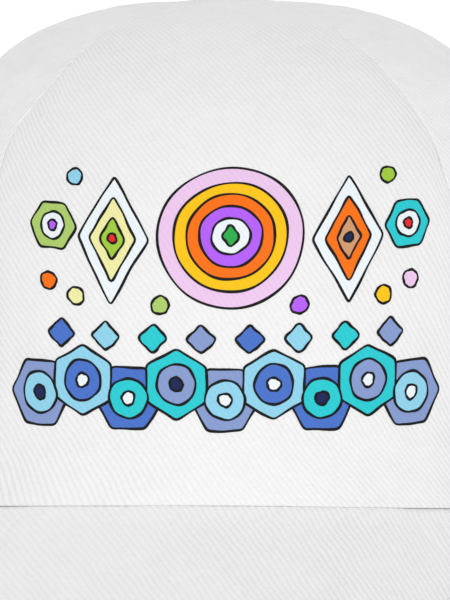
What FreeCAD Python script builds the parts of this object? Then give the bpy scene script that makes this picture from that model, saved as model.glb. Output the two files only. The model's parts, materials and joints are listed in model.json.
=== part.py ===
"""White cotton cap: five crown panels, a curved peak, and a strap with a metal clasp at the back.

The cap is drawn in its crown's own frame, in millimetres: x across the head, y towards the back,
z up from the plane of the crown's bottom edge at the front and back. It is then tipped back to stand
on the two sides of its peak and the back of its crown, with its box centred over the origin.

Places on the crown are given by azimuth, the angle round the head from the front's middle, and
rise, which runs from 0 at the bottom edge to 1 at the top.
"""
import FreeCAD, Part

import math
import os

Vector = FreeCAD.Vector

# Crown, over its cloth
CROWN_HALF_WIDTH = 86.0
CROWN_FRONT = 98.0
CROWN_BACK = 103.0
CROWN_HEIGHT = 117.1
EDGE_DIP = 9.0
FRONT_PROFILE_POWER = 2.4
SIDE_PROFILE_POWER = 2.9
BACK_PROFILE_POWER = 2.3
PLAN_POWER = 2.15
SIDE_FULLNESS_SHARE = 0.020
BACK_FULLNESS_SHARE = 0.035
FULLNESS_TOP_SHARE = 0.85

# Seams between panels, as degrees of azimuth
FRONT_SEAM_FOOT_ANGLE = 43.5
FRONT_SEAM_TOP_ANGLE = 36.2
FRONT_SEAM_POWER = 1.5
SIDE_SEAM_FOOT_ANGLE = 116.0
SIDE_SEAM_TOP_ANGLE = 108.0
BACK_SEAM_ANGLE = 180.0
BACK_START_ANGLE = 100.0

# Cloth layers, from the outside in
PANEL_THICKNESS = 0.9
STIFFENER_THICKNESS = 1.1
TAPE_THICKNESS = 0.5
TAPE_WIDTH = 14.0
TAPE_TOP_RADIUS = 13.0
STIFFENER_TOP_RADIUS = 21.0
LAYER_GAP = 0.15
SEAM_GAP = 0.3
TOP_HOLE_RADIUS = 4.5

# Sweatband
SWEATBAND_THICKNESS = 1.4
SWEATBAND_HEIGHT = 32.0
SWEATBAND_EDGE_INSET = 0.5

# Arch in the back
ARCH_HALF_WIDTH = 38.0
ARCH_HEIGHT = 52.0
ARCH_POWER = 2.2
BINDING_WIDTH = 8.0

# Peak; its board is bent about a line that droops forward from the front's middle
PEAK_LENGTH = 70.0
PEAK_HALF_WIDTH = 91.0
PEAK_THICKNESS = 2.6
PEAK_DROOP_ANGLE = 39.0
PEAK_ARCH_RADIUS = 116.0
PEAK_WIDEST_FORWARD = 8.0
PEAK_WIDEST_SHARE = 0.8
PEAK_FRONT_POWER = 2.25
PEAK_FAN_POWER = 1.3
PEAK_SEAM_END_ANGLE = 54.0
PEAK_CORNER_LENGTH = 5.0
PEAK_CORNER_ANGLE = 80.0
PEAK_SETTLE_SHARE = 0.65
PEAK_GAP = 0.15

# Button on the top, and the washer under it
BUTTON_RADIUS = 7.8
BUTTON_HEIGHT = 4.6
BUTTON_EDGE = 1.6
SHANK_RADIUS = 1.5
WASHER_RADIUS = 7.0
WASHER_THICKNESS = 0.6

# Vent eyelets
EYELET_HOLE_RADIUS = 2.0
EYELET_WALL = 0.7
EYELET_RING_RADIUS = 5.0
EYELET_RING_HEIGHT = 0.9
EYELET_FIT = 0.15
EYELET_RISE_SHARE = 0.50
SIDE_EYELET_ANGLE = 80.0
BACK_EYELET_ANGLE = 148.0

# Strap, which runs level across the arch
STRAP_WIDTH = 18.0
STRAP_THICKNESS = 1.3
STRAP_FOOT = 7.0
STRAP_SEWN_LENGTH = 12.0
STRAP_TAIL_LENGTH = 14.0
STRAP_DIVE_LENGTH = 9.0
STRAP_RETURN_LENGTH = 8.0
STRAP_LOOP_THICKNESS = 0.9
STRAP_LOOP_FIT = 0.15

# Clasp; its lever turns about an upright pin and presses a cam on the strap
CLASP_OFFSET = 7.0
CLASP_LENGTH = 24.0
CLASP_PLATE = 0.8
CLASP_PLATE_LENGTH = 9.0
CLASP_CHEEK = 1.0
CLASP_CHEEK_RADIUS = 2.1
CLASP_WAIST_SHARE = 0.8
CLASP_BAR_RADIUS = 1.0
CLASP_SIDE_CLEARANCE = 0.4
CLASP_FIT = 0.25
LEVER_LENGTH = 13.5
LEVER_PLATE = 0.8
LEVER_BOSS_RADIUS = 1.7
LEVER_CAM_GAP = 0.15
LEVER_CLEARANCE = 0.3
LEVER_LIP = 1.2
LEVER_BOW = 0.5
LEVER_CORNER_RADIUS = 2.5
PIN_RADIUS = 0.7
PIN_RUNNING_CLEARANCE = 0.05
PIN_SEAT_CLEARANCE = 0.02

# How finely the formulas are sampled and refined, and how far a cut runs past what it cuts
PANEL_COLUMNS = 13
PANEL_ROWS = 15
BAND_COLUMNS = 29
BAND_ROWS = 4
PEAK_COLUMNS = 33
PEAK_ROWS = 5
SLOPE_SHARE = 0.01
SLOPE_ANGLE = 1.0
HALVINGS = 40
ROUNDS = 6
STEEPEST_TILT_ANGLE = 45.0
OVERRUN = 5.0


def powered(value, power):
    """The value's size raised to a power, with its sign kept."""
    return math.copysign(abs(value) ** power, value)


def smooth(share):
    """0 to 1 with a gentle start and end."""
    share = min(max(share, 0), 1)
    return share * share * (3 - 2 * share)


def shares(count):
    return [index / (count - 1) for index in range(count)]


def halved(low, high, is_low):
    """The value at which is_low turns from true to false."""
    for _ in range(HALVINGS):
        middle = (low + high) / 2
        if is_low(middle):
            low = middle
        else:
            high = middle
    return (low + high) / 2


def side_share(azimuth):
    """1 over the ears and 0 at the front's and back's middle."""
    return math.sin(math.radians(azimuth)) ** 2


def plan_radius(azimuth):
    """Distance of the crown's outer face from its axis, low on the wall."""
    angle = math.radians(azimuth)
    depth = CROWN_FRONT if math.cos(angle) > 0 else CROWN_BACK
    across = abs(math.sin(angle) / CROWN_HALF_WIDTH) ** PLAN_POWER
    along = abs(math.cos(angle) / depth) ** PLAN_POWER
    return (across + along) ** (-1 / PLAN_POWER)


def crown_skin(azimuth, rise):
    """Point of the crown's outer face."""
    angle = math.radians(azimuth)
    side = side_share(azimuth)
    front = max(math.cos(angle), 0) ** 2
    back = max(-math.cos(angle), 0) ** 2
    power = FRONT_PROFILE_POWER * front + SIDE_PROFILE_POWER * side + BACK_PROFILE_POWER * back
    turn = rise * math.pi / 2
    height = powered(math.sin(turn), 2 / power)
    spread = powered(math.cos(turn), 2 / power)
    fullness = SIDE_FULLNESS_SHARE * side + BACK_FULLNESS_SHARE * back
    spread += fullness * math.sin(math.pi * min(height / FULLNESS_TOP_SHARE, 1)) ** 2
    reach = plan_radius(azimuth) * spread
    drop = EDGE_DIP * side * (1 - height) ** 3
    return Vector(reach * math.sin(angle), -reach * math.cos(angle), CROWN_HEIGHT * height - drop)


def crown_inward(azimuth, rise):
    """Unit vector into the crown, square to its outer face."""
    low = max(rise - SLOPE_SHARE, 0)
    high = min(rise + SLOPE_SHARE, 1)
    round_way = crown_skin(azimuth + SLOPE_ANGLE, rise) - crown_skin(azimuth - SLOPE_ANGLE, rise)
    up_way = crown_skin(azimuth, high) - crown_skin(azimuth, low)
    inward = up_way.cross(round_way)
    inward.normalize()
    return inward


def crown_point(azimuth, rise, depth):
    """Point at a depth under the crown's outer face."""
    return crown_skin(azimuth, rise) + crown_inward(azimuth, rise) * depth


def rise_at_level(azimuth, level):
    """Rise at which the crown's outer face is at this level."""
    return halved(0.0, 1.0, lambda rise: crown_skin(azimuth, rise).z < level)


def rise_over_edge(azimuth, height):
    """Rise at a height over the bottom edge."""
    return rise_at_level(azimuth, crown_skin(azimuth, 0).z + height)


def rise_at_radius(azimuth, radius):
    """Rise at which the crown's outer face is this far from the middle of its top."""
    def is_wide(rise):
        skin = crown_skin(azimuth, rise)
        return math.hypot(skin.x, skin.y) > radius

    return halved(0.0, 1.0, is_wide)


def azimuth_at_width(width, rise):
    """Azimuth on the back's +x side at which the outer face is this far from the middle plane."""
    return halved(BACK_START_ANGLE, BACK_SEAM_ANGLE, lambda azimuth: crown_skin(azimuth, rise).x > width)


def degrees_across(azimuth, rise, length):
    """Degrees of azimuth that a length round the crown takes at this rise."""
    arc = (crown_skin(azimuth + SLOPE_ANGLE, rise) - crown_skin(azimuth - SLOPE_ANGLE, rise)).Length
    return 2 * SLOPE_ANGLE * length / arc


def front_seam(rise):
    return FRONT_SEAM_FOOT_ANGLE + (FRONT_SEAM_TOP_ANGLE - FRONT_SEAM_FOOT_ANGLE) * rise ** FRONT_SEAM_POWER


def side_seam(rise):
    return SIDE_SEAM_FOOT_ANGLE + (SIDE_SEAM_TOP_ANGLE - SIDE_SEAM_FOOT_ANGLE) * rise


def back_seam(rise):
    return BACK_SEAM_ANGLE


def beside(seam, length):
    """The line that runs beside a seam, this far towards greater azimuths."""
    return lambda rise: seam(rise) + degrees_across(seam(rise), rise, length)


def mirrored_line(line):
    return lambda rise: -line(rise)


def grid_surface(rows):
    """Smooth surface through a grid of points."""
    surface = Part.BSplineSurface()
    surface.interpolate(rows)
    return surface


def closed_sheet(outer_rows, inner_rows):
    """Solid between two grids of points, closed round its four edges."""
    outer = grid_surface(outer_rows)
    inner = grid_surface(inner_rows)
    faces = [outer.toShape(), inner.toShape()]
    for end in (0, 1):
        faces.append(Part.makeRuledSurface(outer.uIso(end).toShape(), inner.uIso(end).toShape()))
        faces.append(Part.makeRuledSurface(outer.vIso(end).toShape(), inner.vIso(end).toShape()))
    shell = Part.makeShell(faces)
    shell.sewShape()
    solid = Part.makeSolid(shell)
    if solid.Volume < 0:
        solid.reverse()
    return solid


def crown_sheet(start, end, low, high, depth, thickness, columns=PANEL_COLUMNS, rows=PANEL_ROWS):
    """Sheet of cloth under the crown's outer face.

    start and end give the azimuth of its two sides for a rise, low and high give the rise of its
    bottom and top for an azimuth, and depth is a length or gives one for an azimuth.
    """
    outer_rows = []
    inner_rows = []
    for up in shares(rows):
        outer_row = []
        inner_row = []
        for across in shares(columns):
            rise = up
            for _ in range(ROUNDS):
                azimuth = start(rise) + (end(rise) - start(rise)) * across
                rise = low(azimuth) + (high(azimuth) - low(azimuth)) * up
            under = depth(azimuth) if callable(depth) else depth
            outer_row.append(crown_point(azimuth, rise, under))
            inner_row.append(crown_point(azimuth, rise, under + thickness))
        outer_rows.append(outer_row)
        inner_rows.append(inner_row)
    return closed_sheet(outer_rows, inner_rows)


def moved(shape, placement):
    """The same piece, turned and shifted by a placement."""
    copy = shape.copy()
    copy.Placement = placement.multiply(copy.Placement)
    return copy


def mirror(shape):
    """The same piece on the other side of the head."""
    return shape.mirror(Vector(0, 0, 0), Vector(1, 0, 0))


def bottom_edge(azimuth):
    return 0.0


def panel_top(azimuth):
    return rise_at_radius(azimuth, TOP_HOLE_RADIUS)


def panel(start, end):
    """Crown panel between two seams."""
    half_gap = SEAM_GAP / 2
    return crown_sheet(
        beside(start, half_gap), beside(end, -half_gap), bottom_edge, panel_top, 0, PANEL_THICKNESS
    )


def arch_point(angle, margin):
    """Place in the x-z plane on the rear arch's outline, grown by a margin."""
    x = (ARCH_HALF_WIDTH + margin) * powered(math.cos(angle), 2 / ARCH_POWER)
    z = (ARCH_HEIGHT + margin) * powered(math.sin(angle), 2 / ARCH_POWER)
    return x, z


def arch_cutter():
    """Block of the rear arch's shape, out through the crown's back."""
    points = []
    for share in shares(BAND_COLUMNS):
        x, z = arch_point(math.pi * share, 0)
        points.append(Vector(x, 0, z))
    curve = Part.BSplineCurve()
    curve.interpolate(points)
    foot = Vector(0, 0, -EDGE_DIP - OVERRUN)
    edges = [
        curve.toShape(),
        Part.makeLine(points[-1], points[-1] + foot),
        Part.makeLine(points[-1] + foot, points[0] + foot),
        Part.makeLine(points[0] + foot, points[0]),
    ]
    face = Part.Face(Part.Wire(edges))
    return face.extrude(Vector(0, CROWN_BACK + OVERRUN, 0))


def eyelet_place(azimuth):
    """Centre on the outer face, and the outward direction."""
    return crown_skin(azimuth, EYELET_RISE_SHARE), crown_inward(azimuth, EYELET_RISE_SHARE) * -1


def eyelet_hole(azimuth):
    centre, outward = eyelet_place(azimuth)
    radius = EYELET_HOLE_RADIUS + EYELET_WALL + EYELET_FIT
    return Part.makeCylinder(radius, OVERRUN * 2, centre - outward * OVERRUN, outward)


def outline_face(pieces):
    """Flat face inside a closed row of lines and arcs, each given by two or three points."""
    edges = []
    for piece in pieces:
        if len(piece) == 2:
            edges.append(Part.makeLine(piece[0], piece[1]))
        else:
            edges.append(Part.Arc(piece[0], piece[1], piece[2]).toShape())
    return Part.Face(Part.Wire(edges))


def turned(profile, centre, axis):
    """Turn a closed outline of lines and arcs, given as radius and height, about an axis."""
    rows = [[Vector(radius, 0, height) for radius, height in piece] for piece in profile]
    solid = outline_face(rows).revolve(Vector(0, 0, 0), Vector(0, 0, 1), 360)
    solid.Placement = FreeCAD.Placement(centre, FreeCAD.Rotation(Vector(0, 0, 1), axis))
    return solid


def eyelet(azimuth):
    """Embroidered ring: a flange on the outer face, and a wall down through the panel."""
    centre, outward = eyelet_place(azimuth)
    hole = EYELET_HOLE_RADIUS
    wall = hole + EYELET_WALL
    ring = EYELET_RING_RADIUS
    foot = -PANEL_THICKNESS
    seat = EYELET_FIT
    shoulder = seat + EYELET_RING_HEIGHT / 3
    top = seat + EYELET_RING_HEIGHT
    profile = [
        [(hole, foot), (wall, foot)],
        [(wall, foot), (wall, seat)],
        [(wall, seat), (ring, seat)],
        [(ring, seat), (ring, shoulder)],
        [(ring, shoulder), ((hole + ring) / 2, top), (hole, shoulder)],
        [(hole, shoulder), (hole, foot)],
    ]
    return turned(profile, centre, outward)


def crown_top():
    return crown_skin(0, 1)


def lining_depth():
    """Depth at which the first inner layer starts."""
    return PANEL_THICKNESS + LAYER_GAP


def button():
    """Cloth-covered dome on the crown's top, with the shank that goes through it."""
    seat = LAYER_GAP
    edge = seat + BUTTON_EDGE
    top = seat + BUTTON_HEIGHT
    dome = top - edge
    ball_radius = (BUTTON_RADIUS ** 2 + dome ** 2) / (2 * dome)
    half_turn = math.asin(BUTTON_RADIUS / ball_radius) / 2
    shoulder_radius = ball_radius * math.sin(half_turn)
    shoulder = top - ball_radius * (1 - math.cos(half_turn))
    shank_end = -lining_depth()
    profile = [
        [(0, shank_end), (SHANK_RADIUS, shank_end)],
        [(SHANK_RADIUS, shank_end), (SHANK_RADIUS, seat)],
        [(SHANK_RADIUS, seat), (BUTTON_RADIUS, seat)],
        [(BUTTON_RADIUS, seat), (BUTTON_RADIUS, edge)],
        [(BUTTON_RADIUS, edge), (shoulder_radius, shoulder), (0, top)],
        [(0, top), (0, shank_end)],
    ]
    return turned(profile, crown_top(), Vector(0, 0, 1))


def button_washer():
    """Metal disc inside the crown that the shank is set in."""
    centre = crown_top() - Vector(0, 0, lining_depth() + WASHER_THICKNESS)
    return Part.makeCylinder(WASHER_RADIUS, WASHER_THICKNESS, centre)


def stiffener():
    """Stiff lining of the front panel, between the two front tapes."""
    inset = TAPE_WIDTH / 2 + LAYER_GAP * 2

    def top(azimuth):
        return rise_at_radius(azimuth, STIFFENER_TOP_RADIUS)

    return crown_sheet(
        beside(mirrored_line(front_seam), inset), beside(front_seam, -inset),
        bottom_edge, top, lining_depth(), STIFFENER_THICKNESS,
    )


def seam_tape(seam, low):
    """Tape over the inside of a seam, from a low end up to where the five tapes meet."""
    half = TAPE_WIDTH / 2

    def top(azimuth):
        return rise_at_radius(azimuth, TAPE_TOP_RADIUS)

    return crown_sheet(
        beside(seam, -half), beside(seam, half), low, top, lining_depth(), TAPE_THICKNESS,
        columns=BAND_ROWS,
    )


def over_binding(azimuth):
    return rise_at_level(azimuth, ARCH_HEIGHT + BINDING_WIDTH + LAYER_GAP)


def back_wall_point(x, z, depth):
    """Point under the crown's outer face at the back, over a place in the x-z plane."""
    azimuth = BACK_SEAM_ANGLE
    for _ in range(ROUNDS):
        rise = rise_at_level(azimuth, z)
        azimuth = azimuth_at_width(abs(x), rise)
    point = crown_point(azimuth, rise, depth)
    return Vector(math.copysign(point.x, x), point.y, point.z)


def arch_binding():
    """Tape round the inside of the arch, from one strap end to the other."""
    depth = lining_depth()
    foot = STRAP_FOOT + STRAP_WIDTH + LAYER_GAP * 2
    foot_angle = math.asin((foot / ARCH_HEIGHT) ** (ARCH_POWER / 2))
    outer_rows = []
    inner_rows = []
    for along in shares(BAND_COLUMNS):
        angle = foot_angle + (math.pi - 2 * foot_angle) * along
        outer_row = []
        inner_row = []
        for across in shares(BAND_ROWS):
            x, z = arch_point(angle, BINDING_WIDTH * across)
            outer_row.append(back_wall_point(x, z, depth))
            inner_row.append(back_wall_point(x, z, depth + TAPE_THICKNESS))
        outer_rows.append(outer_row)
        inner_rows.append(inner_row)
    return closed_sheet(outer_rows, inner_rows)


def sweatband():
    """Band round the inside of the bottom edge, open at the rear arch."""
    end = azimuth_at_width(ARCH_HALF_WIDTH, 0)
    depth = lining_depth() + max(STIFFENER_THICKNESS, STRAP_THICKNESS) + LAYER_GAP

    def low(azimuth):
        return rise_over_edge(azimuth, SWEATBAND_EDGE_INSET)

    def high(azimuth):
        return rise_over_edge(azimuth, SWEATBAND_EDGE_INSET + SWEATBAND_HEIGHT)

    return crown_sheet(
        lambda rise: -end, lambda rise: end, low, high, depth, SWEATBAND_THICKNESS,
        columns=BAND_COLUMNS, rows=BAND_ROWS,
    )


def strap_low(azimuth):
    return rise_at_level(azimuth, STRAP_FOOT)


def strap_high(azimuth):
    return rise_at_level(azimuth, STRAP_FOOT + STRAP_WIDTH)


def strap_azimuth(x):
    """Azimuth at which the strap is at this x; beyond 180 on the -x side."""
    azimuth = azimuth_at_width(abs(x), strap_low(BACK_SEAM_ANGLE))
    return azimuth if x > 0 else 2 * BACK_SEAM_ANGLE - azimuth


def strap(start_x, end_x, depth):
    start = strap_azimuth(start_x)
    end = strap_azimuth(end_x)
    return crown_sheet(
        lambda rise: start, lambda rise: end, strap_low, strap_high, depth, STRAP_THICKNESS,
        columns=BAND_COLUMNS, rows=BAND_ROWS,
    )


def pivot_along():
    """Place of the lever's pin along the clasp, from the clasp's middle."""
    return CLASP_LENGTH / 2 - CLASP_CHEEK_RADIUS


def bar_along():
    return CLASP_BAR_RADIUS - CLASP_LENGTH / 2


def loop_radius():
    """Outer radius of the short strap's loop round the clasp's bar."""
    return CLASP_BAR_RADIUS + STRAP_LOOP_FIT + STRAP_LOOP_THICKNESS


def gone_share(azimuth, start_x, length):
    """0 to 1 over a length of the strap towards -x."""
    start = strap_azimuth(start_x)
    end = strap_azimuth(start_x - length)
    return smooth((azimuth - start) / (end - start))


def strap_long():
    """Strap sewn in the +x side, led through the clasp, in under the loop and out to the short strap."""
    start_x = ARCH_HALF_WIDTH + STRAP_SEWN_LENGTH
    end_x = -CLASP_OFFSET - CLASP_LENGTH / 2 - STRAP_TAIL_LENGTH
    dive_x = -CLASP_OFFSET + pivot_along() - CLASP_PLATE_LENGTH
    return_x = -CLASP_OFFSET + bar_along() - loop_radius()
    dive = STRAP_THICKNESS / 2 + loop_radius() + 2 * CLASP_FIT
    climb = dive - STRAP_THICKNESS - LAYER_GAP

    def depth(azimuth):
        down = dive * gone_share(azimuth, dive_x, STRAP_DIVE_LENGTH)
        up = climb * gone_share(azimuth, return_x, STRAP_RETURN_LENGTH)
        return lining_depth() + down - up

    return strap(start_x, end_x, depth)


def strap_short():
    """Strap sewn in the -x side, its end folded back in a loop round the clasp's bar."""
    start_x = -ARCH_HALF_WIDTH - STRAP_SEWN_LENGTH
    end_x = -CLASP_OFFSET + bar_along() - loop_radius() + STRAP_LOOP_THICKNESS / 2
    strip = strap(end_x, start_x, lining_depth())
    section = disc(bar_along(), bar_out(), loop_radius())
    section = section.cut(disc(bar_along(), bar_out(), loop_radius() - STRAP_LOOP_THICKNESS)).Faces[0]
    loop = moved(prism(section, -STRAP_WIDTH / 2, STRAP_WIDTH / 2), clasp_placement())
    return strip.fuse(loop).Solids[0]


def clasp_placement():
    """The clasp's own frame: x along the strap, y outwards from the skin, z up."""
    azimuth = strap_azimuth(-CLASP_OFFSET)
    rise = rise_at_level(azimuth, STRAP_FOOT + STRAP_WIDTH / 2)
    along = crown_skin(azimuth - SLOPE_ANGLE, rise) - crown_skin(azimuth + SLOPE_ANGLE, rise)
    turn = math.degrees(math.atan2(along.y, along.x))
    return FreeCAD.Placement(crown_skin(azimuth, rise), FreeCAD.Rotation(Vector(0, 0, 1), turn))


def strap_reach(first, last):
    """Highest outer and lowest inner face of the strap between two places along the clasp."""
    to_clasp = clasp_placement().inverse()
    outer = []
    inner = []
    for share in shares(BAND_COLUMNS):
        azimuth = strap_azimuth(-CLASP_OFFSET + first + (last - first) * share)
        for rise in (strap_low(azimuth), strap_high(azimuth)):
            depth = lining_depth()
            outer.append(to_clasp.multVec(crown_point(azimuth, rise, depth)).y)
            inner.append(to_clasp.multVec(crown_point(azimuth, rise, depth + STRAP_THICKNESS)).y)
    return max(outer), min(inner)


def pivot_out():
    """Distance of the lever's pin outwards from the clasp's origin."""
    outer, _ = strap_reach(pivot_along() - LEVER_BOSS_RADIUS, pivot_along() + LEVER_BOSS_RADIUS)
    return outer + LEVER_CAM_GAP + LEVER_CLEARANCE + LEVER_BOSS_RADIUS


def prism(face, low, high):
    """Flat outline in the clasp's x-y plane, run up from one level to another."""
    face = face.translated(Vector(0, 0, low))
    return face.extrude(Vector(0, 0, high - low))


def polygon(points):
    corners = [Vector(x, y, 0) for x, y in points]
    return Part.Face(Part.makePolygon(corners + corners[:1]))


def disc(x, y, radius):
    circle = Part.makeCircle(radius, Vector(x, y, 0), Vector(0, 0, 1))
    return Part.Face(Part.Wire([circle]))


def clasp_half_opening():
    """Half the height between the clasp's two cheeks."""
    return STRAP_WIDTH / 2 + CLASP_SIDE_CLEARANCE


def cheek_outline():
    """Side view of a cheek: a boss round the pin, a boss round the bar, and the web between."""
    pivot_x, pivot_y = pivot_along(), pivot_out()
    bar_x, bar_y = bar_along(), bar_out()
    _, floor = strap_reach(pivot_along() - CLASP_PLATE_LENGTH, pivot_along())
    plate_top = floor - CLASP_FIT
    plate_foot = plate_top - CLASP_PLATE
    web = polygon([
        (bar_x, bar_y - CLASP_CHEEK_RADIUS * CLASP_WAIST_SHARE),
        (pivot_x - CLASP_PLATE_LENGTH, plate_foot),
        (pivot_x + CLASP_CHEEK_RADIUS, plate_foot),
        (pivot_x + CLASP_CHEEK_RADIUS, pivot_y),
        (pivot_x, pivot_y + CLASP_CHEEK_RADIUS),
        (bar_x, bar_y + CLASP_CHEEK_RADIUS * CLASP_WAIST_SHARE),
    ])
    outline = web.fuse([disc(pivot_x, pivot_y, CLASP_CHEEK_RADIUS), disc(bar_x, bar_y, CLASP_CHEEK_RADIUS)])
    return outline.removeSplitter()


def bar_out():
    """Distance of the clasp's bar outwards: level with the middle of the short strap."""
    outer, inner = strap_reach(bar_along() - CLASP_BAR_RADIUS, bar_along())
    return (outer + inner) / 2


def clasp_frame():
    """Plate under the strap, two cheeks beside it, and the bar that holds the short strap."""
    opening = clasp_half_opening()
    pivot_x, pivot_y = pivot_along(), pivot_out()
    _, floor = strap_reach(pivot_x - CLASP_PLATE_LENGTH, pivot_x)
    plate_top = floor - CLASP_FIT
    plate = Part.makeBox(
        CLASP_PLATE_LENGTH + CLASP_CHEEK_RADIUS, CLASP_PLATE, 2 * opening + 2 * CLASP_CHEEK,
        Vector(pivot_x - CLASP_PLATE_LENGTH, plate_top - CLASP_PLATE, -opening - CLASP_CHEEK),
    )
    bar = prism(disc(bar_along(), bar_out(), CLASP_BAR_RADIUS), -opening, opening)
    outline = cheek_outline()
    cheeks = [
        prism(outline, opening, opening + CLASP_CHEEK),
        prism(outline, -opening - CLASP_CHEEK, -opening),
    ]
    hole = prism(
        disc(pivot_x, pivot_y, PIN_RADIUS + PIN_SEAT_CLEARANCE),
        -opening - CLASP_CHEEK - OVERRUN, opening + CLASP_CHEEK + OVERRUN,
    )
    frame = plate.fuse([bar] + cheeks).cut(hole).removeSplitter()
    return frame.Solids[0]


def lever_blank(tip, half_width):
    """Block as wide as the lever's plate, with two rounded corners at its tip."""
    block = Part.makeBox(
        LEVER_LENGTH + OVERRUN, 2 * OVERRUN, 2 * half_width, Vector(tip, pivot_out() - OVERRUN, -half_width)
    )
    corners = [
        edge for edge in block.Edges
        if all(vertex.X == tip for vertex in edge.Vertexes) and edge.Vertexes[0].Y != edge.Vertexes[1].Y
    ]
    return block.makeFillet(LEVER_CORNER_RADIUS, corners)


def clasp_lever():
    """Bowed plate over the clasp, and a boss round the pin with a cam that presses on the strap."""
    opening = clasp_half_opening()
    pivot_x, pivot_y = pivot_along(), pivot_out()
    plate_foot = pivot_y + CLASP_CHEEK_RADIUS + LEVER_CLEARANCE
    plate_top = plate_foot + LEVER_PLATE
    tip = pivot_x - LEVER_LENGTH
    neck = tip + LEVER_LIP
    middle = (pivot_x + neck) / 2
    profile = [
        [(pivot_x, plate_foot), (pivot_x, plate_top)],
        [(pivot_x, plate_top), (middle, plate_top + LEVER_BOW), (neck, plate_top)],
        [(neck, plate_top), (tip, plate_top + LEVER_LIP)],
        [(tip, plate_top + LEVER_LIP), (tip - LEVER_PLATE / 2, plate_top + LEVER_LIP / 2)],
        [(tip - LEVER_PLATE / 2, plate_top + LEVER_LIP / 2), (neck, plate_foot)],
        [(neck, plate_foot), (middle, plate_foot + LEVER_BOW), (pivot_x, plate_foot)],
    ]
    outline = outline_face([[Vector(x, y, 0) for x, y in piece] for piece in profile])
    half_width = opening + CLASP_CHEEK
    plate = prism(outline, -half_width, half_width).common(lever_blank(tip - LEVER_PLATE / 2, half_width))
    boss_end = opening - LEVER_CLEARANCE
    boss = prism(disc(pivot_x, pivot_y, LEVER_BOSS_RADIUS), -boss_end, boss_end)
    web = polygon([
        (pivot_x - LEVER_BOSS_RADIUS, pivot_y),
        (pivot_x, pivot_y),
        (pivot_x, plate_foot + LEVER_PLATE / 2),
        (pivot_x - LEVER_BOSS_RADIUS, plate_foot + LEVER_PLATE / 2),
    ])
    cam_foot = pivot_y - LEVER_BOSS_RADIUS - LEVER_CLEARANCE
    cam = polygon([
        (pivot_x - LEVER_BOSS_RADIUS, pivot_y),
        (pivot_x - LEVER_BOSS_RADIUS / 2, cam_foot),
        (pivot_x, cam_foot),
        (pivot_x + LEVER_BOSS_RADIUS / 2, pivot_y),
    ])
    solids = [boss, prism(web, -boss_end, boss_end), prism(cam, -boss_end, boss_end)]
    bore = prism(
        disc(pivot_x, pivot_y, PIN_RADIUS + PIN_RUNNING_CLEARANCE), -boss_end - OVERRUN, boss_end + OVERRUN
    )
    lever = plate.fuse(solids).cut(bore).removeSplitter()
    return lever.Solids[0]


def clasp_pin():
    end = clasp_half_opening() + CLASP_CHEEK
    return prism(disc(pivot_along(), pivot_out(), PIN_RADIUS), -end, end)


def peak_seam_point(across):
    """Point of the seam between crown and peak; across runs from -1 to 1."""
    return crown_skin(PEAK_SEAM_END_ANGLE * across, 0) - Vector(0, 0, PEAK_GAP)


def on_board(point):
    """A point as x, length forward and sag under the drooping line."""
    droop = math.radians(PEAK_DROOP_ANGLE)
    y = point.y + CROWN_FRONT
    z = point.z + PEAK_GAP
    forward = -y * math.cos(droop) - z * math.sin(droop)
    sag = y * math.sin(droop) - z * math.cos(droop)
    return point.x, forward, sag


def off_board(x, forward, sag):
    droop = math.radians(PEAK_DROOP_ANGLE)
    y = -forward * math.cos(droop) + sag * math.sin(droop)
    z = -forward * math.sin(droop) - sag * math.cos(droop)
    return Vector(x, y - CROWN_FRONT, z - PEAK_GAP)


def board_sag(x):
    return PEAK_ARCH_RADIUS - math.sqrt(PEAK_ARCH_RADIUS ** 2 - x ** 2)


def rim_place(across):
    """Place of the peak's outer edge on the board, as x and length forward."""
    side = math.copysign(1, across)
    share = abs(across)
    if share <= PEAK_WIDEST_SHARE:
        angle = math.pi / 2 * (share / PEAK_WIDEST_SHARE) ** PEAK_FAN_POWER
        x = PEAK_HALF_WIDTH * powered(math.sin(angle), 2 / PEAK_FRONT_POWER)
        reach = PEAK_LENGTH - PEAK_WIDEST_FORWARD
        return side * x, PEAK_WIDEST_FORWARD + reach * powered(math.cos(angle), 2 / PEAK_FRONT_POWER)
    corner_x, corner_forward, _ = on_board(peak_seam_point(1))
    turn = math.radians(PEAK_CORNER_ANGLE)
    end_x = corner_x + PEAK_CORNER_LENGTH * math.cos(turn)
    end_forward = corner_forward + PEAK_CORNER_LENGTH * math.sin(turn)
    angle = math.pi / 2 * (share - PEAK_WIDEST_SHARE) / (1 - PEAK_WIDEST_SHARE)
    x = end_x + (PEAK_HALF_WIDTH - end_x) * math.cos(angle)
    forward = PEAK_WIDEST_FORWARD - (PEAK_WIDEST_FORWARD - end_forward) * math.sin(angle)
    return side * x, forward


def peak_skin(across, out):
    """Point of the peak's upper face; out runs from 0 at the seam to 1 at the rim."""
    seam_x, seam_forward, seam_sag = on_board(peak_seam_point(across))
    rim_x, rim_forward = rim_place(across)
    x = seam_x + (rim_x - seam_x) * out
    forward = seam_forward + (rim_forward - seam_forward) * out
    held = smooth((abs(across) - PEAK_SETTLE_SHARE) / (1 - PEAK_SETTLE_SHARE))
    settle = (seam_sag - board_sag(seam_x)) * (1 - out * (1 - held))
    return off_board(x, forward, board_sag(x) + settle)


def peak_point(across, out, depth):
    """Point at a depth under the peak's upper face."""
    left, right = max(across - SLOPE_SHARE, -1), min(across + SLOPE_SHARE, 1)
    near, far = max(out - SLOPE_SHARE, 0), min(out + SLOPE_SHARE, 1)
    sideways = peak_skin(right, out) - peak_skin(left, out)
    forwards = peak_skin(across, far) - peak_skin(across, near)
    down = sideways.cross(forwards)
    down.normalize()
    if down.z > 0:
        down = down * -1
    return peak_skin(across, out) + down * depth


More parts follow.
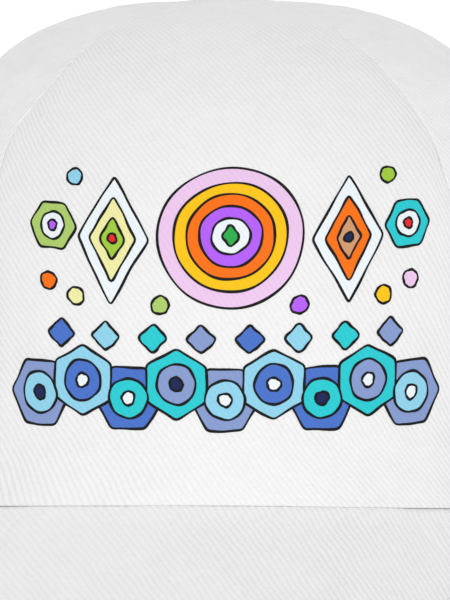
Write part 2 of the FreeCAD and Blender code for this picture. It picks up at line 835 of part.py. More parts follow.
def peak_layer(top_depth, foot_depth):
    """One face of the peak, with its share of the board."""
    upper_rows = []
    lower_rows = []
    for out in shares(PEAK_ROWS):
        places = [2 * share - 1 for share in shares(PEAK_COLUMNS)]
        upper_rows.append([peak_point(across, out, top_depth) for across in places])
        lower_rows.append([peak_point(across, out, foot_depth) for across in places])
    return closed_sheet(upper_rows, lower_rows)


def rest_tilt():
    """Degrees that the cap tips back to stand on its peak's sides and its crown's back."""
    front = [peak_point(share, 1, PEAK_THICKNESS) for share in shares(PEAK_COLUMNS * PEAK_ROWS)]
    arch_side = azimuth_at_width(ARCH_HALF_WIDTH, 0)
    back = [crown_skin(arch_side, 0)]

    def lowest(points, tilt):
        turn = FreeCAD.Rotation(Vector(1, 0, 0), -tilt)
        return min(turn.multVec(point).z for point in points)

    return halved(0.0, STEEPEST_TILT_ANGLE, lambda tilt: lowest(front, tilt) < lowest(back, tilt))


def crown_pieces():
    side = panel(front_seam, side_seam).cut(eyelet_hole(SIDE_EYELET_ANGLE))
    back = panel(side_seam, back_seam).cut(arch_cutter()).cut(eyelet_hole(BACK_EYELET_ANGLE))
    side_tape = seam_tape(side_seam, bottom_edge)
    front_tape = seam_tape(front_seam, bottom_edge)
    side_eyelet = eyelet(SIDE_EYELET_ANGLE)
    back_eyelet = eyelet(BACK_EYELET_ANGLE)
    return {
        "front_panel": panel(mirrored_line(front_seam), front_seam),
        "side_panel_left": side,
        "side_panel_right": mirror(side),
        "back_panel_left": back,
        "back_panel_right": mirror(back),
        "front_stiffener": stiffener(),
        "tape_front_left": front_tape,
        "tape_front_right": mirror(front_tape),
        "tape_side_left": side_tape,
        "tape_side_right": mirror(side_tape),
        "tape_back": seam_tape(back_seam, over_binding),
        "arch_binding": arch_binding(),
        "sweatband": sweatband(),
        "top_button": button(),
        "button_washer": button_washer(),
        "eyelet_side_left": side_eyelet,
        "eyelet_side_right": mirror(side_eyelet),
        "eyelet_back_left": back_eyelet,
        "eyelet_back_right": mirror(back_eyelet),
    }


def peak_pieces():
    middle = PEAK_THICKNESS / 2
    return {
        "peak_upper": peak_layer(0, middle),
        "peak_lower": peak_layer(middle, PEAK_THICKNESS),
    }


def closure_pieces():
    placement = clasp_placement()
    return {
        "strap_long": strap_long(),
        "strap_short": strap_short(),
        "clasp_frame": moved(clasp_frame(), placement),
        "clasp_lever": moved(clasp_lever(), placement),
        "clasp_pin": moved(clasp_pin(), placement),
    }


def stood(pieces):
    """The pieces tipped to their rest, with the middle of the box's foot at the origin."""
    tip = FreeCAD.Placement(Vector(0, 0, 0), FreeCAD.Rotation(Vector(1, 0, 0), -rest_tilt()))
    tipped = {name: moved(shape, tip) for name, shape in pieces.items()}
    box = Part.makeCompound(list(tipped.values())).optimalBoundingBox(True, False)
    shift = Vector(-(box.XMin + box.XMax) / 2, -(box.YMin + box.YMax) / 2, -box.ZMin)
    slide = FreeCAD.Placement(shift, FreeCAD.Rotation())
    return {name: moved(shape, slide) for name, shape in tipped.items()}


def main():
    os.makedirs("parts", exist_ok=True)
    pieces = {}
    pieces.update(crown_pieces())
    pieces.update(peak_pieces())
    pieces.update(closure_pieces())
    for name, shape in stood(pieces).items():
        shape.exportStep(os.path.join("parts", name + ".step"))


main()
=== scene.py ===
"""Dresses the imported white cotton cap: cloth panels, printed front, stitched peak, strap and clasp.

Shapes are worked out in millimetres in the crown's own frame, as in the part's source: x across the
head, y towards the back and z up from the plane of the bottom edge. Places on the crown are given by
azimuth, in degrees round the head from the front's middle, and rise, from 0 at the bottom edge to 1
at the top. to_row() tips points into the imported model's frame, in metres.
"""
import json
import math
from functools import cached_property

import bmesh
import bpy
import numpy as np
from mathutils import Matrix, Vector
from mathutils.geometry import delaunay_2d_cdt


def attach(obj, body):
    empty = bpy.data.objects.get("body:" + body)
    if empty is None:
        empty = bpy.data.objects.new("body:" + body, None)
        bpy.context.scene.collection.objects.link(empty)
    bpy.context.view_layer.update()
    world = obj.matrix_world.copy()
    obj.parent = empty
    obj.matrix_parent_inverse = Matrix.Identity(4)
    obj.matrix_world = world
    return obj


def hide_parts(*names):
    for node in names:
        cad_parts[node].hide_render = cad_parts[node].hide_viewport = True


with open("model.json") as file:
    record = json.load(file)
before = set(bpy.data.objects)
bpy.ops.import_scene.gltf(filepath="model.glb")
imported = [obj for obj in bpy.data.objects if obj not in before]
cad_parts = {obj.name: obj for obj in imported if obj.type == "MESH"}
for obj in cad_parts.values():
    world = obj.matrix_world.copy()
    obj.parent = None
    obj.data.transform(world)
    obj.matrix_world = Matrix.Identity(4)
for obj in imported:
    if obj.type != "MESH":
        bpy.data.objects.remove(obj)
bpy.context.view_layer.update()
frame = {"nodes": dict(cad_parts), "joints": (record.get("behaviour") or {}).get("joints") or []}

# The part's own values, in millimetres and degrees
CROWN_HALF_WIDTH, CROWN_FRONT, CROWN_BACK = 86.0, 98.0, 103.0
CROWN_HEIGHT, EDGE_DIP, TOP_HOLE_RADIUS = 117.1, 9.0, 4.5
FRONT_POWER, SIDE_POWER, BACK_POWER, PLAN_POWER = 2.4, 2.9, 2.3, 2.15
SIDE_FULLNESS, BACK_FULLNESS, FULLNESS_TOP = 0.020, 0.035, 0.85
FRONT_SEAM_FOOT, FRONT_SEAM_TOP, FRONT_SEAM_POWER = 43.5, 36.2, 1.5
SIDE_SEAM_FOOT, SIDE_SEAM_TOP, BACK_SEAM = 116.0, 108.0, 180.0
PANEL_THICKNESS, LINING_DEPTH = 0.9, 1.05
TAPE_WIDTH, TAPE_THICKNESS, TAPE_TOP_RADIUS, LAYER_GAP = 14.0, 0.5, 13.0, 0.15
STIFFENER_THICKNESS, STIFFENER_TOP_RADIUS, STIFFENER_GAP = 1.1, 21.0, 0.3
SWEATBAND_DEPTH, SWEATBAND_THICKNESS, SWEATBAND_FOOT, SWEATBAND_HEIGHT = 2.5, 1.4, 0.5, 32.0
ARCH_HALF_WIDTH, ARCH_HEIGHT, ARCH_POWER, BINDING_WIDTH = 38.0, 52.0, 2.2, 8.0
PEAK_LENGTH, PEAK_HALF_WIDTH, PEAK_THICKNESS, PEAK_GAP = 70.0, 91.0, 2.6, 0.15
PEAK_DROOP, PEAK_ARCH_RADIUS, PEAK_SETTLE_SHARE = 39.0, 116.0, 0.65
PEAK_WIDEST_FORWARD, PEAK_WIDEST_SHARE, PEAK_RIM_SHARE = 8.0, 0.8, 0.94
PEAK_FRONT_POWER, PEAK_FAN_POWER, PEAK_SEAM_END = 2.25, 1.3, 54.0
PEAK_CORNER_LENGTH, PEAK_CORNER_TURN = 5.0, 80.0
BUTTON_RADIUS, BUTTON_HEIGHT, BUTTON_EDGE, BUTTON_SEAT = 7.8, 4.6, 1.6, 0.15
EYELET_RING_RADIUS, EYELET_RISE, SIDE_EYELET, BACK_EYELET = 5.0, 0.50, 80.0, 148.0
STRAP_FOOT, STRAP_WIDTH, STRAP_THICKNESS, STRAP_PLAY = 7.0, 18.0, 1.3, 0.15
STRAP_SEWN, STRAP_TAIL, STRAP_GAP = 12.0, 14.0, 0.3
STRAP_DIVE, STRAP_DIVE_LENGTH, STRAP_RETURN_LENGTH = 3.2, 9.0, 8.0
LOOP_FIT, LOOP_THICKNESS = 0.15, 0.9
CLASP_OFFSET, CLASP_LENGTH, CLASP_PLATE_LENGTH = 7.0, 24.0, 9.0
CLASP_CHEEK_RADIUS, CLASP_BAR_RADIUS = 2.1, 1.0
LEVER_PIN = np.array([2.79918, 104.72730, 16.0])

# How the cloth lies and is sewn, in millimetres
CLOTH_STEP, CLOTH_GAP = 1.25, 0.05
SEAM_ROLL, SEAM_ROLL_WIDTH, SEAM_DIP = 0.35, 0.9, 0.72
EDGE_ROLL, EDGE_ROLL_WIDTH, FOOT_ROLL, FOOT_ROLL_WIDTH = 0.6, 1.0, 0.26, 0.9
FOOT_FLARE, FOOT_FLARE_HEIGHT, PEAK_TUCK = 0.24, 1.5, 0.8
ROW_DIP, ROW_DIP_WIDTH, TAPE_RIDGE, TAPE_RIDGE_WIDTH = 0.2, 0.5, 0.35, 2.2
STITCH_LENGTH, STITCH_GAP, STITCH_THICKNESS, THREAD_LIFT = 2.3, 0.55, 0.42, 0.08
STRAP_THREAD_DEPTH, BAND_THREAD_DEPTH = 0.06, 0.12
HEM_STITCH_HEIGHT, ARCH_STITCH_MARGIN, STRAP_STITCH_MARGIN = 4.2, 3.4, 2.2
TAPE_STITCH_OFFSET, BINDING_STITCH_MARGIN, BAND_STITCH_MARGIN = 4.8, 1.4, 3.0
BOX_START, BOX_MARGIN, PEAK_SEAM_PITS = 1.6, 1.5, 2.6
EYELET_THREADS, EYELET_THREAD_SIZE = 46, (3.1, 0.5, 0.75)
# Ripples beside an edge: height, how far they reach, their length and where they are at their full height
SEAM_PUCKERS, ARCH_PUCKERS, RIM_PUCKERS = (0.13, 6.5, 4.4, 1.2), (0.07, 4.0, 4.2, 0.8), (0.05, 3.0, 3.6, 1.0)
# HEM_GATHERS: the least height of the hem's ripples, and how much higher they are over the peak's ends
HEM_PUCKERS, HEM_GATHERS = (4.0, 4.6, 0.8), (0.07, 0.09)
PEAK_ROWS_FROM_RIM = (4.5, 10.5, 16.5, 22.5, 28.5, 34.5)
# How far each front seam was sewn off its line: degrees, at which rise, over which length of rise
SEAM_WANDER = {
    1: ((1.25, 0.5, 0.12), (0.8, 0.82, 0.07)),
    -1: ((1.3, 0.475, 0.07), (1.9, 0.78, 0.08)),
}
# Pitch of the twill's ribs, and their angle in degrees
TWILL_PITCH, PEAK_TWILL_PITCH = 1.34, 1.43
FRONT_TWILL, PEAK_TWILL, LEFT_TWILL, RIGHT_TWILL = 58.0, 60.0, 76.0, 90.0
STRAP_TWILL, BUTTON_TWILL = 60.0, 52.0
UP = np.array([0.0, 0.0, 1.0])

# Inks, as red, green and blue on a screen
INKS = {
    "periwinkle": (0.53, 0.61, 0.81), "sky": (0.57, 0.83, 0.93), "cobalt": (0.29, 0.45, 0.79),
    "turquoise": (0.17, 0.80, 0.83), "lilac": (0.94, 0.79, 0.94), "yellow": (1.0, 0.78, 0.08),
    "orange": (1.0, 0.45, 0.05), "violet": (0.71, 0.38, 0.98), "lime": (0.63, 0.80, 0.25),
    "leaf": (0.68, 0.81, 0.42), "cream": (0.95, 0.94, 0.66), "red": (0.92, 0.15, 0.17),
    "emerald": (0.18, 0.68, 0.30), "clay": (0.83, 0.60, 0.44), "navy": (0.09, 0.14, 0.33),
    "paper": (0.94, 0.97, 0.99), "black": (0.02, 0.02, 0.03),
}

# The crown frame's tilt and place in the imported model, from the lever's pin
pin_joint = frame["joints"][0]
tilt = math.atan2(-pin_joint["axis"][1], -pin_joint["axis"][2])
TIP = np.array([
    [1.0, 0.0, 0.0],
    [0.0, math.cos(tilt), math.sin(tilt)],
    [0.0, -math.sin(tilt), math.cos(tilt)],
])
SHIFT = np.array(pin_joint["pos_m"]) - TIP @ LEVER_PIN * 0.001


def to_row(points):
    return np.asarray(points) @ TIP.T * 0.001 + SHIFT


# ---- the crown's shape


def crown_skin(azimuth, rise):
    """Points of the crown's outer face."""
    azimuth, rise = np.broadcast_arrays(np.asarray(azimuth, float), np.asarray(rise, float))
    angle = np.radians(azimuth)
    sine, cosine = np.sin(angle), np.cos(angle)
    side = sine ** 2
    front = np.maximum(cosine, 0) ** 2
    back = np.maximum(-cosine, 0) ** 2
    power = FRONT_POWER * front + SIDE_POWER * side + BACK_POWER * back
    turn = np.clip(rise, 0, 1) * math.pi / 2
    height = np.sin(turn) ** (2 / power)
    spread = np.clip(np.cos(turn), 0, 1) ** (2 / power)
    fullness = SIDE_FULLNESS * side + BACK_FULLNESS * back
    spread = spread + fullness * np.sin(math.pi * np.minimum(height / FULLNESS_TOP, 1)) ** 2
    depth = np.where(cosine > 0, CROWN_FRONT, CROWN_BACK)
    plan = np.abs(sine / CROWN_HALF_WIDTH) ** PLAN_POWER + np.abs(cosine / depth) ** PLAN_POWER
    reach = plan ** (-1 / PLAN_POWER) * spread
    drop = EDGE_DIP * side * (1 - height) ** 3
    return np.stack([reach * sine, -reach * cosine, CROWN_HEIGHT * height - drop], axis=-1)


def unit(vectors):
    return vectors / np.maximum(np.linalg.norm(vectors, axis=-1, keepdims=True), 1e-9)


def crown_outward(azimuth, rise):
    rise = np.asarray(rise, float)
    round_way = crown_skin(azimuth + 1, rise) - crown_skin(azimuth - 1, rise)
    up_way = crown_skin(azimuth, np.minimum(rise + 0.01, 1)) - crown_skin(azimuth, np.maximum(rise - 0.01, 0))
    return unit(np.cross(round_way, up_way))


def crown_point(azimuth, rise, lift):
    """Points raised over the crown's outer face, or under it where lift is below 0."""
    lift = np.broadcast_to(lift, np.broadcast_shapes(np.shape(azimuth), np.shape(rise)))
    return crown_skin(azimuth, rise) + crown_outward(azimuth, rise) * lift[..., None]


def halved(low, high, is_low):
    """The values at which is_low turns from true to false."""
    for _ in range(34):
        middle = (low + high) / 2
        below = is_low(middle)
        low, high = np.where(below, middle, low), np.where(below, high, middle)
    return (low + high) / 2


def rise_at_level(azimuth, level):
    azimuth, level = np.broadcast_arrays(np.asarray(azimuth, float), np.asarray(level, float))
    start, end = np.zeros(azimuth.shape), np.ones(azimuth.shape)
    return halved(start, end, lambda rise: crown_skin(azimuth, rise)[..., 2] < level)


def rise_over_edge(azimuth, height):
    return rise_at_level(azimuth, crown_skin(azimuth, 0)[..., 2] + height)


def rise_at_radius(azimuth, radius):
    azimuth = np.asarray(azimuth, float)

    def is_outside(rise):
        x, y, _ = np.moveaxis(crown_skin(azimuth, rise), -1, 0)
        return np.hypot(x, y) > radius

    return halved(np.zeros(azimuth.shape), np.ones(azimuth.shape), is_outside)


def azimuth_at_width(width, rise):
    """Azimuth on the back, from 90 to 180, at which the outer face is this far from the middle plane."""
    width, rise = np.broadcast_arrays(np.asarray(width, float), np.asarray(rise, float))
    start, end = np.full(width.shape, 100.0), np.full(width.shape, BACK_SEAM)
    return halved(start, end, lambda azimuth: crown_skin(azimuth, rise)[..., 0] > width)


def back_place(x, z):
    """Azimuth and rise of the back's outer face over places in the x-z plane.

    The azimuth is beyond 180 where x is below 0.
    """
    x, z = np.broadcast_arrays(np.asarray(x, float), np.asarray(z, float))
    azimuth = np.full(x.shape, 175.0)
    for _ in range(7):
        rise = rise_at_level(azimuth, z)
        azimuth = azimuth_at_width(np.abs(x), rise)
    return np.where(x < 0, 360 - azimuth, azimuth), rise


def plain_front_seam(rise):
    return FRONT_SEAM_FOOT + (FRONT_SEAM_TOP - FRONT_SEAM_FOOT) * rise ** FRONT_SEAM_POWER


def front_seam(rise, side):
    """Azimuth of a front seam on the side's own way round, where it was sewn a little off its line."""
    sewn_line = plain_front_seam(rise)
    for degrees, middle, length in SEAM_WANDER[side]:
        sewn_line = sewn_line + degrees * bump(rise, middle, length)
    return sewn_line + 0.16 * np.sin(rise * 31.0) + 0.10 * np.sin(rise * 57.0 + 1.3)


def side_seam(rise):
    return SIDE_SEAM_FOOT + (SIDE_SEAM_TOP - SIDE_SEAM_FOOT) * rise


def degrees_across(azimuth, rise, length):
    """Degrees of azimuth that a length round the crown takes."""
    arc = np.linalg.norm(crown_skin(azimuth + 0.5, rise) - crown_skin(azimuth - 0.5, rise), axis=-1)
    return length / np.maximum(arc, 1e-6)


# Lengths over the crown's face, round from the front's middle and up from the edge
TABLE_AZIMUTHS = np.linspace(-200, 200, 401)
TABLE_RISES = np.linspace(0, 1, 241)
table_points = crown_skin(TABLE_AZIMUTHS[:, None], TABLE_RISES[None, :])
round_steps = np.linalg.norm(np.diff(table_points, axis=0), axis=-1)
ROUND_TABLE = np.vstack([np.zeros((1, len(TABLE_RISES))), np.cumsum(round_steps, axis=0)])
ROUND_TABLE = ROUND_TABLE - ROUND_TABLE[200]
up_steps = np.linalg.norm(np.diff(table_points, axis=1), axis=-1)
UP_TABLE = np.hstack([np.zeros((len(TABLE_AZIMUTHS), 1)), np.cumsum(up_steps, axis=1)])


def looked_up(table, azimuth, rise):
    column = np.clip((azimuth + 200), 0, 399.999)
    row = np.clip(rise * 240, 0, 239.999)
    i, j = column.astype(int), row.astype(int)
    u, v = column - i, row - j
    return (
        table[i, j] * (1 - u) * (1 - v) + table[i + 1, j] * u * (1 - v)
        + table[i, j + 1] * (1 - u) * v + table[i + 1, j + 1] * u * v
    )


def weave_place(azimuth, rise, middle):
    """Place on a panel's flat cloth, in millimetres across from its middle line and up from its foot.

    A level line round the crown bends upwards on the flat cloth, the more the higher it is.
    """
    azimuth, rise = np.broadcast_arrays(np.asarray(azimuth, float), np.asarray(rise, float))
    wrapped = np.where(azimuth - middle > 180, azimuth - 360, azimuth)
    middles = np.full(rise.shape, float(middle))
    across = looked_up(ROUND_TABLE, wrapped, rise) - looked_up(ROUND_TABLE, middles, rise)
    rises = np.linspace(0.02, 0.95, 80)
    one, level, other = (crown_skin(middle + turn, rises) for turn in (-2, 0, 2))
    step = np.linalg.norm(other - one, axis=-1) / 2
    up_way = unit(crown_skin(middle, rises + 0.01) - crown_skin(middle, rises - 0.01))
    bend = ((one + other - 2 * level) * up_way).sum(-1) / step ** 2
    bent = 0.5 * across ** 2 * np.interp(rise, rises, bend)
    return np.stack([across, looked_up(UP_TABLE, wrapped, rise) + bent], axis=-1)


# ---- how cloth lies on a shape


def stations(length, step, close=(0.0, 0.1, 0.25, 0.42, 0.62, 0.86, 1.15, 1.5, 1.95, 2.6)):
    """Shares of a length, close together near both ends."""
    near = np.array(close)
    count = max(int(round((length - 2 * near[-1]) / step)), 2)
    inner = np.linspace(near[-1], length - near[-1], count + 1)[1:-1]
    return np.concatenate([near, inner, length - near[::-1]]) / length


def swell(points, seed, length, waves=9):
    """Gentle undulation from about -1 to 1 over points."""
    draw = np.random.default_rng(seed)
    total = np.zeros(points.shape[:-1])
    for _ in range(waves):
        way = unit(draw.normal(size=points.shape[-1]))
        turns = 2 * math.pi / (length * draw.uniform(0.7, 1.7))
        total += np.sin(points @ way * turns + draw.uniform(0, 2 * math.pi))
    return total / math.sqrt(waves)


def ripple(along, seed, length):
    """Uneven ripples from about -1 to 1 along a seam."""
    draw = np.random.default_rng(seed)
    total = np.zeros(along.shape)
    for share in (0.55, 0.8, 1.0, 1.35, 1.9):
        start = draw.uniform(0, 2 * math.pi)
        total += np.sin(along * 2 * math.pi / (length * share) + start) * draw.uniform(0.6, 1)
    return total / 2.2


def puckers(distance, along, seed, height, reach, length, start):
    """Ripples that stand across an edge and die away from it."""
    return height * np.exp(-distance / reach) * ripple(along, seed, length) * smooth(distance / start)


def line_lengths(line):
    return np.concatenate([[0], np.cumsum(np.linalg.norm(np.diff(line, axis=0), axis=1))])


def nearest(points, line, batch=3000):
    """Distance of each point from a line, and the length along the line to there."""
    flat = points.reshape(-1, points.shape[-1])
    lengths = line_lengths(line)
    distance, along = np.empty(len(flat)), np.empty(len(flat))
    for first in range(0, len(flat), batch):
        part = flat[first:first + batch]
        at = np.argmin(((part[:, None] - line[None]) ** 2).sum(-1), axis=1)
        best = np.full(len(part), np.inf)
        best_along = np.zeros(len(part))
        for step in (-1, 0):
            k = np.clip(at + step, 0, len(line) - 2)
            way = line[k + 1] - line[k]
            share = np.clip(((part - line[k]) * way).sum(-1) / (way ** 2).sum(-1), 0, 1)
            gap = np.linalg.norm(part - line[k] - way * share[:, None], axis=-1)
            better = gap < best
            best = np.where(better, gap, best)
            best_along = np.where(better, lengths[k] + share * (lengths[k + 1] - lengths[k]), best_along)
        distance[first:first + batch] = best
        along[first:first + batch] = best_along
    return distance.reshape(points.shape[:-1]), along.reshape(points.shape[:-1])


def rolled(distance, depth, width):
    """How far a cloth's edge rolls under, by the distance from the edge."""
    share = np.clip(1 - distance / width, 0, 1)
    return -depth * (1 - np.sqrt(np.maximum(1 - share ** 2, 0)))


def rounded(edge, half):
    """How far a face draws in toward the rounded edge of a piece that is this half thick."""
    return half - np.sqrt(np.maximum(half ** 2 - np.maximum(half - edge, 0) ** 2, 0))


def bump(distance, centre, width):
    return np.exp(-((distance - centre) / width) ** 2)


def smooth(share):
    share = np.clip(share, 0, 1)
    return share * share * (3 - 2 * share)


# ---- objects and meshes


def new_object(name, data):
    made = bpy.data.objects.new(name, data)
    bpy.context.scene.collection.objects.link(made)
    return made


def turn_outward(mesh):
    """Turns the faces of a closed mesh outward."""
    count = len(mesh.polygons)
    centres, ways, areas = (np.empty((count, width), np.float32) for width in (3, 3, 1))
    for key, values in (("center", centres), ("normal", ways), ("area", areas)):
        mesh.polygons.foreach_get(key, values.reshape(-1))
    if ((centres - centres.mean(0)).astype(float) * ways * areas).sum() < 0:
        mesh.flip_normals()


def mesh_piece(name, points, faces, material, weave, is_smooth=True):
    """A closed piece from points in the crown's frame; weave is each point's place on the cloth."""
    mesh = bpy.data.meshes.new(name)
    mesh.from_pydata(to_row(points).tolist(), [], [list(map(int, face)) for face in faces])
    turn_outward(mesh)
    if is_smooth:
        mesh.shade_smooth()
    layer = mesh.uv_layers.new(name="weave")
    vertices = np.empty(len(mesh.loops), np.int32)
    mesh.loops.foreach_get("vertex_index", vertices)
    layer.data.foreach_set("uv", np.asarray(weave, np.float32)[vertices].ravel())
    mesh.materials.append(material)
    return new_object(name, mesh)


def closed_cloth(name, outer, inner, weave, material):
    """Sheet between two grids of points, closed round its four edges."""
    rows, columns = outer.shape[:2]
    count = rows * columns
    index = np.arange(count).reshape(rows, columns)
    face = np.stack([index[:-1, :-1], index[:-1, 1:], index[1:, 1:], index[1:, :-1]], axis=-1).reshape(-1, 4)
    loop = np.concatenate([index[0, :-1], index[:-1, -1], index[-1, :0:-1], index[:0:-1, 0]])
    following = np.roll(loop, -1)
    wall = np.stack([following, loop, loop + count, following + count], axis=-1)
    points = np.concatenate([outer.reshape(-1, 3), inner.reshape(-1, 3)])
    faces = np.concatenate([face, face[:, ::-1] + count, wall])
    return mesh_piece(name, points, faces, material, np.concatenate([weave.reshape(-1, 2)] * 2))


def dress(piece, body, slot, *nodes):
    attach(piece, body)
    if nodes:
        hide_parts(*nodes)
    return piece


# ---- materials


def add_node(tree, kind, inputs=(), **settings):
    """A node with its settings, and with values or links from other sockets for its inputs."""
    made = tree.nodes.new(kind)
    for key, value in settings.items():
        setattr(made, key, value)
    for key, value in dict(inputs).items():
        if isinstance(value, bpy.types.NodeSocket):
            tree.links.new(value, made.inputs[key])
        else:
            made.inputs[key].default_value = value
    return made


class Surface:
    """A material's nodes, and short ways to join them."""

    def __init__(self, name, colour, roughness, **values):
        self.material = bpy.data.materials.new(name)
        self.material.use_nodes = True
        self.tree = self.material.node_tree
        self.shader = self.tree.nodes["Principled BSDF"]
        self.colour, self.roughness = colour, roughness
        self.shader.inputs["Base Color"].default_value = (*colour, 1)
        self.shader.inputs["Roughness"].default_value = roughness
        for socket, value in values.items():
            self.shader.inputs[socket.replace("_", " ")].default_value = value

    @cached_property
    def weave(self):
        return self.node("ShaderNodeUVMap", uv_map="weave").outputs["UV"]

    @cached_property
    def place(self):
        return self.node("ShaderNodeTexCoord").outputs["Object"]

    def node(self, kind, inputs=(), **settings):
        return add_node(self.tree, kind, inputs, **settings)

    def maths(self, operation, a, b=0.0):
        return self.node("ShaderNodeMath", {0: a, 1: b}, operation=operation).outputs[0]

    def times(self, a, b, more=0.0):
        """a times b, plus more."""
        return self.node("ShaderNodeMath", {0: a, 1: b, 2: more}, operation="MULTIPLY_ADD").outputs[0]

    def along(self, vector, way):
        made = self.node("ShaderNodeVectorMath", {0: vector, 1: way}, operation="DOT_PRODUCT")
        return made.outputs["Value"]

    def wave(self, vector, way):
        return self.maths("SINE", self.along(vector, way))

    def noise(self, vector, scale, detail=2.0, roughness=0.5):
        inputs = {"Vector": vector, "Scale": scale, "Detail": detail, "Roughness": roughness}
        return self.node("ShaderNodeTexNoise", inputs).outputs["Fac"]

    def spread(self, value, low, high, start=0.0, end=1.0):
        """A value from start to end spread from low to high."""
        inputs = {"Value": value, "From Min": start, "From Max": end, "To Min": low, "To Max": high}
        return self.node("ShaderNodeMapRange", inputs).outputs["Result"]

    def finished(self, factor, height, relief, colour=None):
        """Shades the colour by a factor and raises the face by a height, at most relief millimetres."""
        inputs = {0: colour or self.colour, "Scale": factor}
        shaded = self.node("ShaderNodeVectorMath", inputs, operation="SCALE").outputs["Vector"]
        inputs = {"Height": height, "Distance": relief * 0.001, "Strength": 1.0}
        raised = self.node("ShaderNodeBump", inputs).outputs["Normal"]
        self.tree.links.new(shaded, self.shader.inputs["Base Color"])
        self.tree.links.new(raised, self.shader.inputs["Normal"])
        return self.material


def drawn_out_of_line(surface):
    """How many ribs the front's cloth was drawn out of line when it was stretched over its shape."""
    across = surface.spread(surface.along(surface.weave, (1, 0, 0)), -0.95, 0.95, -57.0, 57.0)
    up = surface.spread(surface.along(surface.weave, (0, 1, 0)), 0.0, 1.05, 0.0, 126.0)
    off_hem = surface.maths("SUBTRACT", 1.0, surface.maths("EXPONENT", surface.times(up, -6.0)))
    bend = surface.times(up, -9.68, surface.times(across, -1.73, 2.91))
    bend = surface.times(across, bend, -2.09)
    bend = surface.times(up, surface.times(up, 11.63, -20.45), bend)
    bend = surface.times(across, surface.times(off_hem, 10.26, bend))
    bend = surface.times(up, surface.times(up, -4.23, 10.65), bend)
    return surface.times(off_hem, -1.1, bend)


def twill_height(surface, lean, pitch=TWILL_PITCH):
    """Height of diagonal ribs, 0 to 1, on the weave's millimetres; lean is their angle in degrees."""
    across, up = math.sin(math.radians(lean)) / pitch, math.cos(math.radians(lean)) / pitch
    drift = surface.spread(surface.noise(surface.weave, 0.11, 1.0), -0.45, 0.45)
    if lean == FRONT_TWILL:
        drift = surface.maths("ADD", drift, drawn_out_of_line(surface))
    phase = surface.maths("ADD", surface.along(surface.weave, (across, up, 0)), drift)
    wave = surface.maths("ABSOLUTE", surface.maths("SINE", surface.times(phase, math.pi)))
    rib = surface.maths("POWER", wave, 0.75)
    yarn = surface.wave(surface.weave, (8 * math.pi * across, 0, 0))
    fleck = surface.noise(surface.weave, 2.1, 3.0, 0.6)
    height = surface.times(rib, 0.72, surface.times(fleck, 0.38))
    return surface.times(surface.times(yarn, rib), 0.06, height)


def twill(name, lean, relief=0.09, shade=0.12, pitch=TWILL_PITCH, mottled_shade_depth=0.045, pressed=False, fades=False):
    """White twill whose ribs stand out in some places and are worn flat in others.

    On pressed cloth they are flatter in the middle, and on cloth that fades, toward its left end. Its colour
    is darker in the ribs' grooves, a painted shade, and more so where the ribs stand out.
    """
    surface = Surface(name, WHITE, 0.85, Specular_IOR_Level=0.25, Sheen_Weight=0.12, Sheen_Roughness=0.5)
    height = twill_height(surface, lean, pitch)
    worn = surface.spread(surface.noise(surface.weave, 0.045, 3.0, 0.6), 0.2, 1.6)
    if pressed:
        from_middle = surface.maths("ABSOLUTE", surface.along(surface.weave, (1 / 75, 0, 0)))
        worn = surface.times(worn, surface.spread(from_middle, 0.8, 1.5))
    if fades:
        across = surface.along(surface.weave, (1, 0, 0))
        worn = surface.times(worn, surface.spread(across, 0.45, 1.35, -60.0, 60.0))
    # Painted shade: the colour is darkened in the ribs' grooves, by shade times how far the ribs stand out.
    ribs = surface.times(surface.maths("SUBTRACT", 1.0, height), surface.times(worn, shade))
    # Painted shade: broad darker and lighter blotches in the colour stand in for the shade of the cloth's
    # small undulations.
    undulation_shade = surface.spread(surface.noise(surface.weave, 0.16, 5.0, 0.7), -mottled_shade_depth, mottled_shade_depth)
    specks = surface.spread(surface.noise(surface.weave, 1.5, 1.0), -0.055, 0.055)
    factor = surface.maths("ADD", surface.maths("SUBTRACT", 1.04, ribs), surface.maths("ADD", undulation_shade, specks))
    return surface.finished(factor, surface.times(height, worn), relief)


def printed(name, lean):
    """Ink in the twill; its colour is the piece's own attribute."""
    surface = Surface(name, (0.5, 0.5, 0.5), 0.7, Specular_IOR_Level=0.25)
    ink = surface.node("ShaderNodeAttribute", attribute_name="ink").outputs["Color"]
    height = twill_height(surface, lean)
    # Painted shade: the ink is darker in the twill's grooves.
    return surface.finished(surface.spread(height, 0.93, 1.0), height, 0.05, ink)


def plain_weave(name, colour, pitch, relief, gap_shade=0.0):
    """Crossing threads at right angles, darker between the threads as a painted shade, deepest where the
    weave is open.
    """
    surface = Surface(name, colour, 0.85, Specular_IOR_Level=0.25, Sheen_Weight=0.1)
    ways = (math.pi / pitch, 0, 0), (0, math.pi / pitch, 0)
    one, other = (surface.wave(surface.weave, way) for way in ways)
    crossed = surface.maths("ABSOLUTE", surface.times(one, other))
    fleck = surface.noise(surface.weave, 1.6, 3.0, 0.6)
    height = surface.times(crossed, 0.7, surface.times(fleck, 0.3))
    # Painted shade: the colour is darker where the threads dip and in the gaps between them.
    return surface.finished(surface.spread(height, 0.94 - gap_shade, 1.0), height, relief)


def ribbed_tape(name, colour):
    """Woven tape with crossing diagonal ribs."""
    surface = Surface(name, colour, 0.8, Specular_IOR_Level=0.3)
    rib, back_rib = (
        surface.maths("ABSOLUTE", surface.wave(surface.weave, (turn * math.pi / 1.1, math.pi / 1.6, 0)))
        for turn in (1, -1)
    )
    fleck = surface.times(surface.noise(surface.weave, 1.8, 2.0), 0.2)
    height = surface.times(surface.maths("MAXIMUM", rib, back_rib), 0.8, fleck)
    # Painted shade: the tape's colour is darker in the grooves between its ribs.
    return surface.finished(surface.spread(height, 0.93, 1.0), height, 0.08)


def thread(name, colour):
    surface = Surface(name, colour, 0.55, Specular_IOR_Level=0.4, Sheen_Weight=0.2)
    twist = surface.wave(surface.place, (9000.0, 7000.0, 8000.0))
    return surface.finished(surface.spread(surface.noise(surface.place, 900.0, 2.0), 0.93, 1.0), twist, 0.03)


